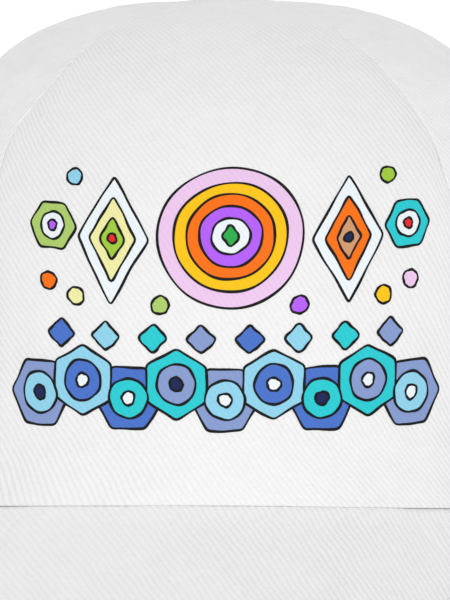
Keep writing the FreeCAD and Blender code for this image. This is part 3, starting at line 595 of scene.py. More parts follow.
def brushed(name, colour, roughness, stretch):
    """Metal with fine scratches; stretch is how finely they follow each other along each axis."""
    surface = Surface(name, colour, roughness, Metallic=1.0)
    inputs = {"Vector": surface.place, "Scale": stretch}
    squeezed = surface.node("ShaderNodeMapping", inputs).outputs["Vector"]
    scratch = surface.noise(squeezed, 1.0, 4.0, 0.7)
    wear = surface.noise(surface.place, 160.0, 3.0, 0.6)
    rough = surface.spread(scratch, roughness - 0.08, roughness + 0.1)
    surface.tree.links.new(rough, surface.shader.inputs["Roughness"])
    dull = surface.times(scratch, 0.5, surface.times(wear, 0.5))
    return surface.finished(surface.spread(dull, 0.62, 1.3), scratch, 0.012)


WHITE = (0.87, 0.87, 0.868)
front_twill = twill("cotton_twill_front", FRONT_TWILL, pressed=True)
left_twill = twill("cotton_twill_left", LEFT_TWILL, 0.08, 0.09, mottled_shade_depth=0.07)
right_twill = twill("cotton_twill_right", RIGHT_TWILL, 0.11, 0.12, mottled_shade_depth=0.07)
peak_twill = twill("cotton_twill_peak", PEAK_TWILL, 0.1, 0.145, PEAK_TWILL_PITCH, fades=True)
strap_twill = twill("cotton_twill_strap", STRAP_TWILL)
button_twill = twill("cotton_twill_button", BUTTON_TWILL)
print_ink = printed("screen_print_ink", FRONT_TWILL)
lining_net = plain_weave("stiffener_net", (0.84, 0.84, 0.83), 0.55, 0.06, 0.12)
band_cotton = plain_weave("sweatband_cotton", (0.85, 0.85, 0.845), 0.32, 0.03)
tape_weave = ribbed_tape("seam_tape_weave", (0.86, 0.86, 0.86))
sewing_thread = thread("sewing_thread", (0.86, 0.86, 0.86))
embroidery_thread = thread("embroidery_thread", (0.88, 0.88, 0.88))
clasp_steel = brushed("brushed_steel", (0.47, 0.47, 0.485), 0.34, (40.0, 4200.0, 4200.0))
washer_metal = brushed("satin_aluminium", (0.7, 0.7, 0.71), 0.4, (4200.0, 40.0, 4200.0))


# ---- stitches


def stitch_tree(name, follows_line):
    """Geometry nodes that set a thread on each point, or at even steps along each line of points.

    The points carry face_way, the direction out of the cloth, and along, the thread's own direction.
    """
    tree = bpy.data.node_groups.new(name, "GeometryNodeTree")
    kinds = {"Geometry": "Geometry", "Pitch": "Float", "Size": "Vector", "Unevenness": "Float", "Seed": "Int",
             "Material": "Material"}
    for key, kind in kinds.items():
        tree.interface.new_socket(key, in_out="INPUT", socket_type="NodeSocket" + kind)
    tree.interface.new_socket("Geometry", in_out="OUTPUT", socket_type="NodeSocketGeometry")

    def node(kind, inputs=(), **settings):
        return add_node(tree, kind, inputs, **settings).outputs

    given = node("NodeGroupInput")
    face_way, way = (
        node("GeometryNodeInputNamedAttribute", {"Name": key}, data_type="FLOAT_VECTOR")["Attribute"]
        for key in ("face_way", "along")
    )
    places = given["Geometry"]
    if follows_line:
        curve = node("GeometryNodeMeshToCurve", {"Mesh": places})["Curve"]
        even = {"Curve": curve, "Length": given["Pitch"]}
        places = node("GeometryNodeResampleCurve", even, mode="LENGTH")["Curve"]
        way = node("GeometryNodeInputTangent")["Tangent"]
    axes = {"Primary Axis": way, "Secondary Axis": face_way}
    turn = node("FunctionNodeAxesToRotation", axes, primary_axis="X", secondary_axis="Z")["Rotation"]
    shape = node("GeometryNodeMeshUVSphere", {"Segments": 8, "Rings": 6, "Radius": 0.5})["Mesh"]
    low, high = (
        node("ShaderNodeVectorMath", {0: (1, 1, 1), 1: given["Unevenness"]}, operation=operation)["Vector"]
        for operation in ("SUBTRACT", "ADD")
    )
    limits = {"Min": low, "Max": high, "Seed": given["Seed"]}
    drawn = node("FunctionNodeRandomValue", limits, data_type="FLOAT_VECTOR")["Value"]
    size = node("ShaderNodeVectorMath", {0: given["Size"], 1: drawn}, operation="MULTIPLY")["Vector"]
    inputs = {"Points": places, "Instance": shape, "Rotation": turn, "Scale": size}
    threads = node("GeometryNodeInstanceOnPoints", inputs)["Instances"]
    threads = node("GeometryNodeRealizeInstances", {"Geometry": threads})["Geometry"]
    inputs = {"Geometry": threads, "Material": given["Material"]}
    threads = node("GeometryNodeSetMaterial", inputs)["Geometry"]
    node("NodeGroupOutput", {"Geometry": threads})
    return tree


running_stitches = stitch_tree("running_stitches", True)
laid_threads = stitch_tree("laid_threads", False)


def sewn(name, tree, lines, size, material, slot, pitch=0.0, unevenness=0.06, seed=1):
    """Threads over lines of (points, outward directions, thread directions)."""
    points, ways, directions = zip(*lines)
    edges, first = [], 0
    for line in points:
        edges += [(first + k, first + k + 1) for k in range(len(line) - 1)]
        first += len(line)
    mesh = bpy.data.meshes.new(name + "_path")
    mesh.from_pydata(to_row(np.concatenate(points)).tolist(), edges if tree is running_stitches else [], [])
    for key, values in (("face_way", ways), ("along", directions)):
        layer = mesh.attributes.new(key, "FLOAT_VECTOR", "POINT")
        layer.data.foreach_set("vector", (np.concatenate(values) @ TIP.T).astype(np.float32).ravel())
    path = new_object(name + "_path", mesh)
    modifier = path.modifiers.new("threads", "NODES")
    modifier.node_group = tree
    sockets = {item.name: item.identifier for item in tree.interface.items_tree if item.in_out == "INPUT"}
    given = {"Pitch": pitch * 0.001, "Size": [value * 0.001 for value in size], "Unevenness": unevenness,
             "Seed": seed, "Material": material}
    for key, value in given.items():
        modifier[sockets[key]] = value
    bpy.context.view_layer.update()
    made = bpy.data.meshes.new_from_object(path.evaluated_get(bpy.context.evaluated_depsgraph_get()))
    made.name = name
    made.shade_smooth()
    bpy.data.objects.remove(path)
    return dress(new_object(name, made), "cap", slot)


def running(name, rows, slot, seed):
    """Running stitches along rows of (points, outward directions)."""
    size = (STITCH_LENGTH, STITCH_THICKNESS, STITCH_THICKNESS)
    lines = [(line, way, way) for line, way in rows]
    pitch = STITCH_LENGTH + STITCH_GAP
    return sewn(name, running_stitches, lines, size, sewing_thread, slot, pitch, seed=seed)


# ---- crown panels


def crown_edges(side):
    """The lines that cloth rolls in at on one side of the crown: seams, hem and arch."""
    rises = np.linspace(0, 1, 500)
    angles = np.linspace(math.pi / 2, 0, 240)
    x, z = arch_outline(angles, 0.0)
    azimuth, rise = back_place(np.maximum(x, 0.01), z)
    foot = azimuth_at_width(ARCH_HALF_WIDTH, 0.0)
    azimuth, rise = np.append(azimuth, foot), np.append(rise, 0.0)
    back_rises = np.linspace(rise_at_level(BACK_SEAM, ARCH_HEIGHT), 1, 500)
    return {
        "front": crown_skin(side * front_seam(rises, side), rises),
        "side": crown_skin(side * side_seam(rises), rises),
        "back": crown_skin(np.full(500, BACK_SEAM), back_rises),
        "hem": crown_skin(side * np.linspace(0, float(foot), 500), 0.0),
        "arch": crown_skin(side * azimuth, rise),
        "arch_places": (azimuth, rise),
    }


def arch_outline(angles, margin):
    """The rear arch's outline in the x-z plane, a margin outside its edge."""
    x = (ARCH_HALF_WIDTH + margin) * np.sign(np.cos(angles)) * np.abs(np.cos(angles)) ** (2 / ARCH_POWER)
    return x, (ARCH_HEIGHT + margin) * np.sin(angles) ** (2 / ARCH_POWER)


EDGES = {side: crown_edges(side) for side in (1, -1)}


def cloth_lift(azimuth, rise, side, seams, fullness, seed):
    """How far a panel's cloth stands over the crown's outer face."""
    points = crown_skin(azimuth, rise)
    edges = EDGES[side]
    seam_reach, crumple_height = (7.5, 0.07) if fullness > 0.3 else (3.4, 0.025)
    lift = np.zeros(points.shape[:-1])
    clear = np.full(points.shape[:-1], 1e3)
    under_button = smooth((np.hypot(points[..., 0], points[..., 1]) - BUTTON_RADIUS + 2) / 9)
    for name in seams:
        distance, along = nearest(points, edges[name])
        clear = np.minimum(clear, distance)
        lift += rolled(distance, SEAM_ROLL, SEAM_ROLL_WIDTH) * (0.2 + 0.8 * under_button)
        lift -= SEAM_DIP * np.exp(-distance / seam_reach) * under_button
        slanted = along + 0.8 * distance
        lift += puckers(distance, slanted, seed + len(name), *SEAM_PUCKERS) * under_button
    from_hem, along = nearest(points, edges["hem"])
    behind_peak = smooth((np.abs(azimuth) - PEAK_SEAM_END - 1) / 1.5)
    over_peak = 1 - behind_peak
    lift += rolled(from_hem, FOOT_ROLL, FOOT_ROLL_WIDTH) * over_peak
    lift += rolled(from_hem, EDGE_ROLL, EDGE_ROLL_WIDTH) * behind_peak
    lift -= ROW_DIP * bump(from_hem, HEM_STITCH_HEIGHT, ROW_DIP_WIDTH) * behind_peak
    lift += FOOT_FLARE * np.exp(-from_hem / FOOT_FLARE_HEIGHT) * over_peak
    least, more = HEM_GATHERS
    gathered = least + more * smooth((np.abs(azimuth) - 20) / 25) * over_peak
    lift += puckers(from_hem, along, seed, gathered, *HEM_PUCKERS)
    if "back" in seams:
        distance, along = nearest(points, edges["arch"])
        clear = np.minimum(clear, distance)
        lift += rolled(distance, EDGE_ROLL, EDGE_ROLL_WIDTH)
        lift -= ROW_DIP * bump(distance, ARCH_STITCH_MARGIN, ROW_DIP_WIDTH)
        lift += puckers(distance, along, seed + 9, *ARCH_PUCKERS)
    free = smooth((clear - 4) / 16) * smooth((from_hem - 5) / 22) * smooth((0.86 - rise) / 0.3)
    lift += fullness * free * (0.5 + 0.5 * swell(points, seed, 46.0))
    crumple = 0.06 * swell(points, seed + 5, 15.0) + crumple_height * swell(points, seed + 6, 7.5)
    lift += smooth(clear / 5) * crumple * under_button
    for centre in (SIDE_EYELET, BACK_EYELET):
        gap = np.linalg.norm(points - crown_skin(side * centre, EYELET_RISE), axis=-1)
        near = smooth((gap - EYELET_RING_RADIUS - 1) / 9)
        lift = lift * near - 0.12 * bump(gap, EYELET_RING_RADIUS + 0.8, 1.2)
    return lift


# Seams beside a panel, how full it is, its seed and its middle
FRONT_CLOTH = (("front",), 0.18, 11)
SIDE_CLOTH = (("front", "side"), 0.45, 23, 80.0)
BACK_CLOTH = (("side", "back"), 0.8, 37, 150.0)


def front_lift(azimuth, rise):
    one, other = (cloth_lift(azimuth, rise, side, *FRONT_CLOTH) for side in (1, -1))
    return np.where(azimuth < 0, other, one)


def cloth_top(azimuth, rise):
    """How far the side and back cloths stand over the crown's face at these places."""
    azimuth = np.where(azimuth > 180, azimuth - 360, azimuth)
    lift = np.zeros(azimuth.shape)
    for side in (1, -1):
        for (*cloth, seed, _), on_back in ((SIDE_CLOTH, False), (BACK_CLOTH, True)):
            chosen = (azimuth * side > 0) & ((np.abs(azimuth) > side_seam(rise)) == on_back)
            if chosen.any():
                lift[chosen] = cloth_lift(azimuth[chosen], rise[chosen], side, *cloth, seed + side)
    return lift


def crown_cloth(word, side, azimuth, rise, cloth, material, flat, area, *rests_on):
    """A side or back panel's cloth."""
    *form, seed, middle = cloth
    azimuth = side * azimuth
    lift = cloth_lift(azimuth, rise, side, *form, seed + side)
    outer = crown_point(azimuth, rise, lift)
    inner = crown_point(azimuth, rise, np.minimum(-PANEL_THICKNESS + np.maximum(lift, 0) * 0.9, lift - 0.1))
    weave = weave_place(azimuth, rise, side * middle)
    piece = closed_cloth(word.replace("_", "_cloth_"), outer, inner, weave, material)
    return dress(piece, "cap", "crown_cloth", word.replace("_", "_panel_"))


def seam_to_seam(start, end, middle, width):
    """Places on a panel between two seams, closer together near its edges."""
    top = float(rise_at_radius(middle, TOP_HOLE_RADIUS))
    rises = np.linspace(0, top, 400)
    lengths = looked_up(UP_TABLE, np.full(400, float(middle)), rises)
    rises = np.interp(stations(lengths[-1], CLOTH_STEP) * lengths[-1], lengths, rises)[:, None]
    low = start(rises) + degrees_across(start(rises), rises, CLOTH_GAP)
    high = end(rises) - degrees_across(end(rises), rises, CLOTH_GAP)
    azimuth = low + (high - low) * stations(width, CLOTH_STEP)[None, :]
    rise = rises * rise_at_radius(azimuth, TOP_HOLE_RADIUS) / top
    return azimuth, np.clip(rise, 0, 1)


def front_cloth():
    azimuth, rise = seam_to_seam(lambda r: -front_seam(r, -1), lambda r: front_seam(r, 1), 0.0, 150.0)
    lift = front_lift(azimuth, rise)
    outer = crown_point(azimuth, rise, lift)
    inner = crown_point(azimuth, rise, np.minimum(-PANEL_THICKNESS, lift - 0.1))
    piece = closed_cloth("front_cloth", outer, inner, weave_place(azimuth, rise, 0.0), front_twill)
    dress(piece, "cap", "crown_cloth", "front_panel")


def side_cloth(side, word, material):
    azimuth, rise = seam_to_seam(lambda r: front_seam(r, side), side_seam, 80.0, 118.0)
    crown_cloth("side_" + word, side, azimuth, rise, SIDE_CLOTH, material,
                (0.120, 0.165), 0.0144, "tape_front_" + word, "tape_side_" + word)


def back_cloth(side, word, material):
    """Cloth from the side seam to the back seam and round the arch."""
    top = float(rise_at_radius(BACK_SEAM, TOP_HOLE_RADIUS))
    seam_rises = np.linspace(top, float(rise_at_level(BACK_SEAM, ARCH_HEIGHT)), 300)
    gap = degrees_across(np.full(300, BACK_SEAM), seam_rises, CLOTH_GAP)
    arch_azimuth, arch_rise = EDGES[side]["arch_places"]
    near_back = np.append(BACK_SEAM - gap, arch_azimuth[1:]), np.append(seam_rises, arch_rise[1:])
    rises = np.linspace(float(rise_at_radius(SIDE_SEAM_TOP, TOP_HOLE_RADIUS)), 0, 500)
    near_side = side_seam(rises) + degrees_across(side_seam(rises), rises, CLOTH_GAP), rises
    down = 1 - stations(150.0, CLOTH_STEP)[::-1]

    def resampled(azimuths, rises):
        lengths = line_lengths(crown_skin(azimuths, rises))
        at = down * lengths[-1]
        return np.array([np.interp(at, lengths, values)[:, None] for values in (azimuths, rises)])

    start, end = resampled(*near_side), resampled(*near_back)
    azimuth, rise = start + (end - start) * stations(95.0, CLOTH_STEP)
    crown_cloth("back_" + word, side, azimuth, rise, BACK_CLOTH, material,
                (0.112, 0.165), 0.0125, "tape_side_" + word, "tape_back", "arch_binding")


front_cloth()
for side, word, material in ((1, "left", left_twill), (-1, "right", right_twill)):
    side_cloth(side, word, material)
    back_cloth(side, word, material)


# ---- peak


def peak_seam_point(across):
    return crown_skin(PEAK_SEAM_END * across, np.zeros(np.shape(across))) - UP * PEAK_GAP


def on_board(points):
    """Points as x, length forward and sag under the drooping line."""
    droop = math.radians(PEAK_DROOP)
    y, z = points[..., 1] + CROWN_FRONT, points[..., 2] + PEAK_GAP
    forward = -y * math.cos(droop) - z * math.sin(droop)
    return points[..., 0], forward, y * math.sin(droop) - z * math.cos(droop)


def off_board(x, forward, sag):
    droop = math.radians(PEAK_DROOP)
    y = -forward * math.cos(droop) + sag * math.sin(droop) - CROWN_FRONT
    z = -forward * math.sin(droop) - sag * math.cos(droop) - PEAK_GAP
    return np.stack([x, y, z], axis=-1)


def board_sag(x):
    return PEAK_ARCH_RADIUS - np.sqrt(PEAK_ARCH_RADIUS ** 2 - x ** 2)


def rim_place(across):
    """Place of the peak's outer edge on the board, as x and length forward.

    The rim runs back to PEAK_RIM_SHARE, and from there the short side edge runs to the seam's end.
    """
    share = np.abs(across)
    angle = math.pi / 2 * np.minimum(share / PEAK_WIDEST_SHARE, 1) ** PEAK_FAN_POWER
    x = PEAK_HALF_WIDTH * np.sin(angle) ** (2 / PEAK_FRONT_POWER)
    reach = PEAK_LENGTH - PEAK_WIDEST_FORWARD
    forward = PEAK_WIDEST_FORWARD + reach * np.maximum(np.cos(angle), 0) ** (2 / PEAK_FRONT_POWER)
    corner_x, corner_forward, _ = on_board(peak_seam_point(np.array(1.0)))
    turn = math.radians(PEAK_CORNER_TURN)
    end_x = corner_x + PEAK_CORNER_LENGTH * math.cos(turn)
    end_forward = corner_forward + PEAK_CORNER_LENGTH * math.sin(turn)
    past_widest = (share - PEAK_WIDEST_SHARE) / (PEAK_RIM_SHARE - PEAK_WIDEST_SHARE)
    angle = math.pi / 2 * np.clip(past_widest, 0, 1)
    is_late = share > PEAK_WIDEST_SHARE
    x = np.where(is_late, end_x + (PEAK_HALF_WIDTH - end_x) * np.cos(angle), x)
    late = PEAK_WIDEST_FORWARD - (PEAK_WIDEST_FORWARD - end_forward) * np.sin(angle)
    edge = np.clip((share - PEAK_RIM_SHARE) / (1 - PEAK_RIM_SHARE), 0, 1)
    x = x + (corner_x - end_x) * edge
    return np.copysign(x, across), np.where(is_late, late, forward) + (corner_forward - end_forward) * edge


def peak_flat(across, out):
    """Place on the board, as x and length forward."""
    seam_x, seam_forward, _ = on_board(peak_seam_point(across))
    rim_x, rim_forward = rim_place(across)
    return seam_x + (rim_x - seam_x) * out, seam_forward + (rim_forward - seam_forward) * out


def peak_skin(across, out):
    """Points of the peak's upper face; out runs from 0 at the seam to 1 at the rim."""
    across, out = np.broadcast_arrays(across, out)
    seam_x, _, seam_sag = on_board(peak_seam_point(across))
    x, forward = peak_flat(across, out)
    held = smooth((np.abs(across) - PEAK_SETTLE_SHARE) / (1 - PEAK_SETTLE_SHARE))
    settle = (seam_sag - board_sag(seam_x)) * (1 - out * (1 - held))
    return off_board(x, forward, board_sag(x) + settle)


def peak_down(across, out):
    across, out = np.broadcast_arrays(across, out)
    sideways = peak_skin(np.minimum(across + 0.01, 1), out) - peak_skin(np.maximum(across - 0.01, -1), out)
    forwards = peak_skin(across, np.minimum(out + 0.01, 1)) - peak_skin(across, np.maximum(out - 0.01, 0))
    down = unit(np.cross(sideways, forwards))
    return np.where(down[..., 2:] > 0, -down, down)


RIM_LINE = np.stack(rim_place(np.linspace(-1, 1, 900)), axis=-1)
PEAK_SEAM_LINE = np.stack(on_board(peak_seam_point(np.linspace(-1, 1, 700)))[:2], axis=-1)


def peak_face(name, is_upper, node):
    """One cloth face of the peak, rolled round half the board's thickness at the rim."""
    shares = np.concatenate([
        np.linspace(0, PEAK_WIDEST_SHARE, 120, endpoint=False),
        np.linspace(PEAK_WIDEST_SHARE, PEAK_RIM_SHARE, 36, endpoint=False),
        np.linspace(PEAK_RIM_SHARE, 0.998, 12),
    ])
    across = np.concatenate([-shares[:0:-1], shares])[None, :]
    across, out = np.broadcast_arrays(across, stations(PEAK_LENGTH, 0.62)[:, None])
    flat = np.stack(peak_flat(across, out), axis=-1)
    from_rim, along_rim = nearest(flat, RIM_LINE)
    from_seam, along_seam = nearest(flat, PEAK_SEAM_LINE)
    skin, down = peak_skin(across, out), peak_down(across, out)
    lift = np.zeros(across.shape)
    for distance in PEAK_ROWS_FROM_RIM:
        lift -= ROW_DIP * bump(from_rim, distance, 0.55) * smooth((from_seam - 2) / 2)
        lift += 0.05 * bump(from_rim, distance + 3, 1.8)
    lift -= 0.12 * bump(from_rim, 0.0, 0.5)
    pits = 0.5 + 0.5 * np.cos(2 * math.pi * along_seam / PEAK_SEAM_PITS)
    drawn_in = smooth((np.abs(across) - 0.38) / 0.3)
    lift += (0.08 - 0.42 * drawn_in) * bump(from_seam, 0.0, 0.55)
    lift -= 0.17 * bump(from_seam, 0.2, 0.4) * pits ** 2
    lift += 0.15 * bump(from_seam, 1.0, 1.1) + 0.06 * bump(from_seam, 2.8, 1.4)
    lift += 0.06 * swell(skin, 51, 16.0) * smooth(from_rim / 4)
    lift += puckers(from_rim, along_rim, 53, *RIM_PUCKERS)
    half = PEAK_THICKNESS / 2
    depth = rounded(from_rim, half) - lift
    if is_upper:
        outer, inner = depth, np.maximum(depth + 0.03, half - 0.02)
    else:
        outer, inner = PEAK_THICKNESS - depth, np.minimum(PEAK_THICKNESS - depth - 0.03, half + 0.02)
    outer, inner = skin + down * outer[..., None], skin + down * inner[..., None]
    if is_upper:
        # One more row is tucked in under the crown's edge
        inward = unit(outer[0] * (-1, -1, 0)) * PEAK_TUCK
        outer = np.concatenate([[skin[0] + inward + UP * (PEAK_GAP - 0.02)], outer])
        inner = np.concatenate([[inner[0] + inward], inner])
        flat = np.concatenate([[flat[0] - (0, PEAK_TUCK)], flat])
    piece = closed_cloth(name, outer, inner, flat * (1, -1), peak_twill)
    dress(piece, "cap", "peak_cloth", node)


def board_places(flat):
    """across and out for places on the board, by Newton's steps."""
    across, out = flat[:, 0] / PEAK_HALF_WIDTH, np.full(len(flat), 0.6)
    step = 1e-4
    for _ in range(30):
        place = np.array(peak_flat(across, out))
        a, c = (np.array(peak_flat(across + step, out)) - place) / step
        b, d = (np.array(peak_flat(across, out + step)) - place) / step
        miss_x, miss_forward = flat.T - place
        scale = a * d - b * c
        scale = np.where(np.abs(scale) < 1e-6, 1e-6, scale)
        across_step = np.clip((d * miss_x - b * miss_forward) / scale, -0.05, 0.05)
        out_step = np.clip((a * miss_forward - c * miss_x) / scale, -0.08, 0.08)
        across, out = np.clip(across + across_step, -0.995, 0.995), np.clip(out + out_step, 0, 1)
    return across, out


def peak_rows(is_upper):
    """Lines of the peak's stitch rows, at even distances from the rim."""
    way = np.gradient(RIM_LINE, axis=0)
    inward = unit(np.stack([way[:, 1], -way[:, 0]], axis=-1))
    lines = []
    for distance in PEAK_ROWS_FROM_RIM:
        row = RIM_LINE + inward * distance
        from_rim, from_seam = nearest(row, RIM_LINE)[0], nearest(row, PEAK_SEAM_LINE)[0]
        across, out = board_places(row)
        missed = np.hypot(*(row.T - peak_flat(across, out)))
        is_kept = (from_rim > distance - 0.15) & (from_seam > 4.0) & (missed < 0.3) & (np.abs(across) < 0.95)
        runs = np.flatnonzero(is_kept)
        longest = max(np.split(runs, np.flatnonzero(np.diff(runs) > 1) + 1), key=len)
        across, out = across[longest], out[longest]
        down = peak_down(across, out)
        depth = THREAD_LIFT if is_upper else PEAK_THICKNESS - THREAD_LIFT
        lines.append((peak_skin(across, out) + down * depth, -down if is_upper else down))
    return lines


peak_face("peak_upper_cloth", True, "peak_upper")
peak_face("peak_under_cloth", False, "peak_lower")
running("peak_stitches_upper", peak_rows(True), "peak_cloth", seed=3)
running("peak_stitches_under", peak_rows(False), "peak_cloth", seed=4)


# ---- rows of stitches on the crown


def row_outside(azimuth, rise, lift):
    """A line on the crown and its outward directions."""
    return crown_point(azimuth, rise, lift), crown_outward(azimuth, rise)


def row_inside(azimuth, rise, depth):
    """A line inside the crown and its inward directions."""
    return crown_point(azimuth, rise, -depth), -crown_outward(azimuth, rise)


def row_on_cloth(azimuth, rise):
    """A line of thread that lies in the side and back cloths' outer face."""
    return row_outside(azimuth, rise, cloth_top(azimuth, rise) + THREAD_LIFT)


def hem_rows():
    foot = float(azimuth_at_width(ARCH_HALF_WIDTH, 0.0))
    azimuths = np.linspace(PEAK_SEAM_END + 2, foot - 3, 300)
    rises = rise_over_edge(azimuths, HEM_STITCH_HEIGHT)
    return [row_on_cloth(side * azimuths, rises) for side in (1, -1)]


def arch_line(margin, count=240, low_angle=0.03):
    x, z = arch_outline(np.linspace(low_angle, math.pi - low_angle, count), margin)
    return back_place(np.where(np.abs(x) < 0.01, 0.01, x), z)


def box_rows():
    """Stitched boxes where the strap's ends are sewn in."""
    near = ARCH_HALF_WIDTH + ARCH_STITCH_MARGIN + BOX_START
    far = ARCH_HALF_WIDTH + STRAP_SEWN - BOX_MARGIN
    low, high = STRAP_FOOT + STRAP_STITCH_MARGIN, STRAP_FOOT + STRAP_WIDTH - STRAP_STITCH_MARGIN
    corners = [(near, low), (far, low), (far, high), (near, high), (near, low), (far, high)]
    rows = []
    for side in (1, -1):
        for one, other in zip(corners, corners[1:]):
            azimuth, rise = back_place(*np.linspace(one, other, 24).T)
            rows.append(row_on_cloth(side * azimuth, rise))
    return rows


running("hem_stitches", hem_rows(), "crown_cloth", seed=5)
running("arch_stitches", [row_on_cloth(*arch_line(ARCH_STITCH_MARGIN))], "crown_cloth", seed=6)
running("strap_box_stitches", box_rows(), "crown_cloth", seed=7)


# ---- inside the crown

TAPE_INSIDE = LINING_DEPTH + TAPE_THICKNESS + 0.05


def lining(name, azimuth, rise, thickness, weave, material, slot, node):
    """A layer that lies inside the panels."""
    outer = crown_point(azimuth, rise, -LINING_DEPTH)
    inner = crown_point(azimuth, rise, -(LINING_DEPTH + thickness))
    return dress(closed_cloth(name, outer, inner, weave, material), "cap", slot, node)


def stiffener():
    across = np.linspace(-1, 1, 90)[None, :]
    rises = np.linspace(0, float(rise_at_radius(0.0, STIFFENER_TOP_RADIUS)), 90)[:, None]
    edge = plain_front_seam(rises)
    azimuth = (edge - degrees_across(edge, rises, TAPE_WIDTH / 2 + STIFFENER_GAP)) * across
    rise = np.broadcast_to(rises, azimuth.shape)
    net = lining("stiffener_net", azimuth, rise, STIFFENER_THICKNESS, weave_place(azimuth, rise, 0.0),
                 lining_net, "stiffener_cloth", "front_stiffener")


def seam_tape(name, node, line, side, low_rise=0.0):
    """Tape over the inside of a seam, and its two rows of stitches."""
    rises = np.linspace(low_rise, float(rise_at_radius(line(np.array(0.9)), TAPE_TOP_RADIUS)), 150)
    azimuths = line(rises)
    offsets = np.linspace(-TAPE_WIDTH / 2, TAPE_WIDTH / 2, 19)[None, :]

    def beside(offset, azimuths, rises):
        return side * (azimuths + degrees_across(azimuths, rises, offset))

    azimuth = beside(offsets, azimuths[:, None], rises[:, None])
    rise = np.broadcast_to(rises[:, None], azimuth.shape)
    lengths = line_lengths(crown_skin(azimuths, rises))[:, None]
    weave = np.stack(np.broadcast_arrays(offsets, lengths), axis=-1)
    ridge = TAPE_RIDGE * bump(offsets, 0, TAPE_RIDGE_WIDTH) + 0.04 * ripple(lengths + offsets, 61, 5.0)
    lining(name, azimuth, rise, TAPE_THICKNESS + ridge, weave, tape_weave, "tape_cloth", node)
    return [row_inside(beside(offset, azimuths, rises), rises, TAPE_INSIDE)
            for offset in (-TAPE_STITCH_OFFSET, TAPE_STITCH_OFFSET)]


def seam_tapes():
    rows = []
    for side, word in ((1, "left"), (-1, "right")):
        rows += seam_tape("front_tape_" + word, "tape_front_" + word, plain_front_seam, side)
        rows += seam_tape("side_tape_" + word, "tape_side_" + word, side_seam, side)
    low_rise = float(rise_at_level(BACK_SEAM, ARCH_HEIGHT + BINDING_WIDTH + LAYER_GAP))
    rows += seam_tape("back_tape", "tape_back", lambda rise: np.full(np.shape(rise), BACK_SEAM), 1, low_rise)
    running("tape_stitches", rows, "tape_cloth", seed=8)


def arch_tape():
    foot = STRAP_FOOT + STRAP_WIDTH + STRAP_GAP
    low_angle = math.asin((foot / ARCH_HEIGHT) ** (ARCH_POWER / 2))
    margins = np.linspace(0, BINDING_WIDTH, 11)
    azimuth, rise = np.stack([arch_line(margin, 150, low_angle) for margin in margins], axis=1)
    lengths = line_lengths(crown_skin(azimuth[0], rise[0]))
    weave = np.stack(np.broadcast_arrays(margins[:, None], lengths[None, :]), axis=-1)
    lining("arch_tape", azimuth, rise, TAPE_THICKNESS, weave, tape_weave, "tape_cloth", "arch_binding")
    rows = [row_inside(*arch_line(margin, 200, low_angle), TAPE_INSIDE)
            for margin in (BINDING_STITCH_MARGIN, BINDING_WIDTH - BINDING_STITCH_MARGIN)]
    running("arch_tape_stitches", rows, "tape_cloth", seed=9)


def band_place(azimuth, height):
    """Rise, place on the flat band and how far the sweatband stands off the crown at a height on it."""
    rise = rise_over_edge(azimuth, SWEATBAND_FOOT + height)
    place = weave_place(azimuth, rise, 0.0)
    return rise, place, (height / SWEATBAND_HEIGHT) ** 2 * (0.55 + 0.45 * swell(place, 71, 60.0)) * 0.8


def sweatband():
    end = float(azimuth_at_width(ARCH_HALF_WIDTH, 0.0))
    heights = stations(SWEATBAND_HEIGHT, 1.4, (0.0, 0.12, 0.3, 0.55, 0.9, 1.4))[:, None] * SWEATBAND_HEIGHT
    azimuth, height = np.broadcast_arrays(np.linspace(-end, end, 330)[None, :], heights)
    rise, place, ease = band_place(azimuth, height)
    taper = rounded(np.minimum(height, SWEATBAND_HEIGHT - height), SWEATBAND_THICKNESS / 2) * 0.9
    dents = 0.18 * bump(SWEATBAND_HEIGHT - height, BAND_STITCH_MARGIN, 0.5)
    dents = dents + 0.18 * bump(height, HEM_STITCH_HEIGHT, 0.5)
    outer = crown_point(azimuth, rise, -(SWEATBAND_DEPTH + ease + taper))
    inner = crown_point(azimuth, rise, -(SWEATBAND_DEPTH + SWEATBAND_THICKNESS + ease - taper - dents))
    weave = np.stack([place[..., 0], height], axis=-1)
    band = closed_cloth("sweatband_cloth", outer, inner, weave, band_cotton)
    dress(band, "cap", "sweatband_cloth", "sweatband")
    rows = []
    for height in (SWEATBAND_HEIGHT - BAND_STITCH_MARGIN, HEM_STITCH_HEIGHT):
        line = np.linspace(-end + 0.5, end - 0.5, 400)
        rise, _, ease = band_place(line, height)
        rows.append(row_inside(line, rise, SWEATBAND_DEPTH + SWEATBAND_THICKNESS + ease - BAND_THREAD_DEPTH))
    running("sweatband_stitches", rows, "sweatband_cloth", seed=10)


stiffener()
seam_tapes()
arch_tape()
sweatband()


# ---- strap

PIVOT_ALONG = CLASP_LENGTH / 2 - CLASP_CHEEK_RADIUS
BAR_ALONG = CLASP_BAR_RADIUS - CLASP_LENGTH / 2
LOOP_RADIUS = CLASP_BAR_RADIUS + LOOP_FIT + LOOP_THICKNESS
STRAP_EDGE = (0.0, 0.08, 0.2, 0.4, 0.7)


def strap_azimuth(x):
    azimuth = float(azimuth_at_width(abs(x), rise_at_level(BACK_SEAM, STRAP_FOOT)))
    return azimuth if x > 0 else 360.0 - azimuth


def long_strap_depth(azimuth):
    """The long strap dives under the loop on the clasp's bar and comes back up to the short strap."""
    def gone_share(start_x, length):
        start, end = strap_azimuth(start_x), strap_azimuth(start_x - length)
        return smooth((azimuth - start) / (end - start))

    down = STRAP_DIVE * gone_share(-CLASP_OFFSET + PIVOT_ALONG - CLASP_PLATE_LENGTH, STRAP_DIVE_LENGTH)
    climb = STRAP_DIVE - STRAP_THICKNESS - STRAP_PLAY
    up = climb * gone_share(-CLASP_OFFSET + BAR_ALONG - LOOP_RADIUS, STRAP_RETURN_LENGTH)
    return LINING_DEPTH + down - up


def short_strap_depth(azimuth):
    return np.full(np.shape(azimuth), LINING_DEPTH)


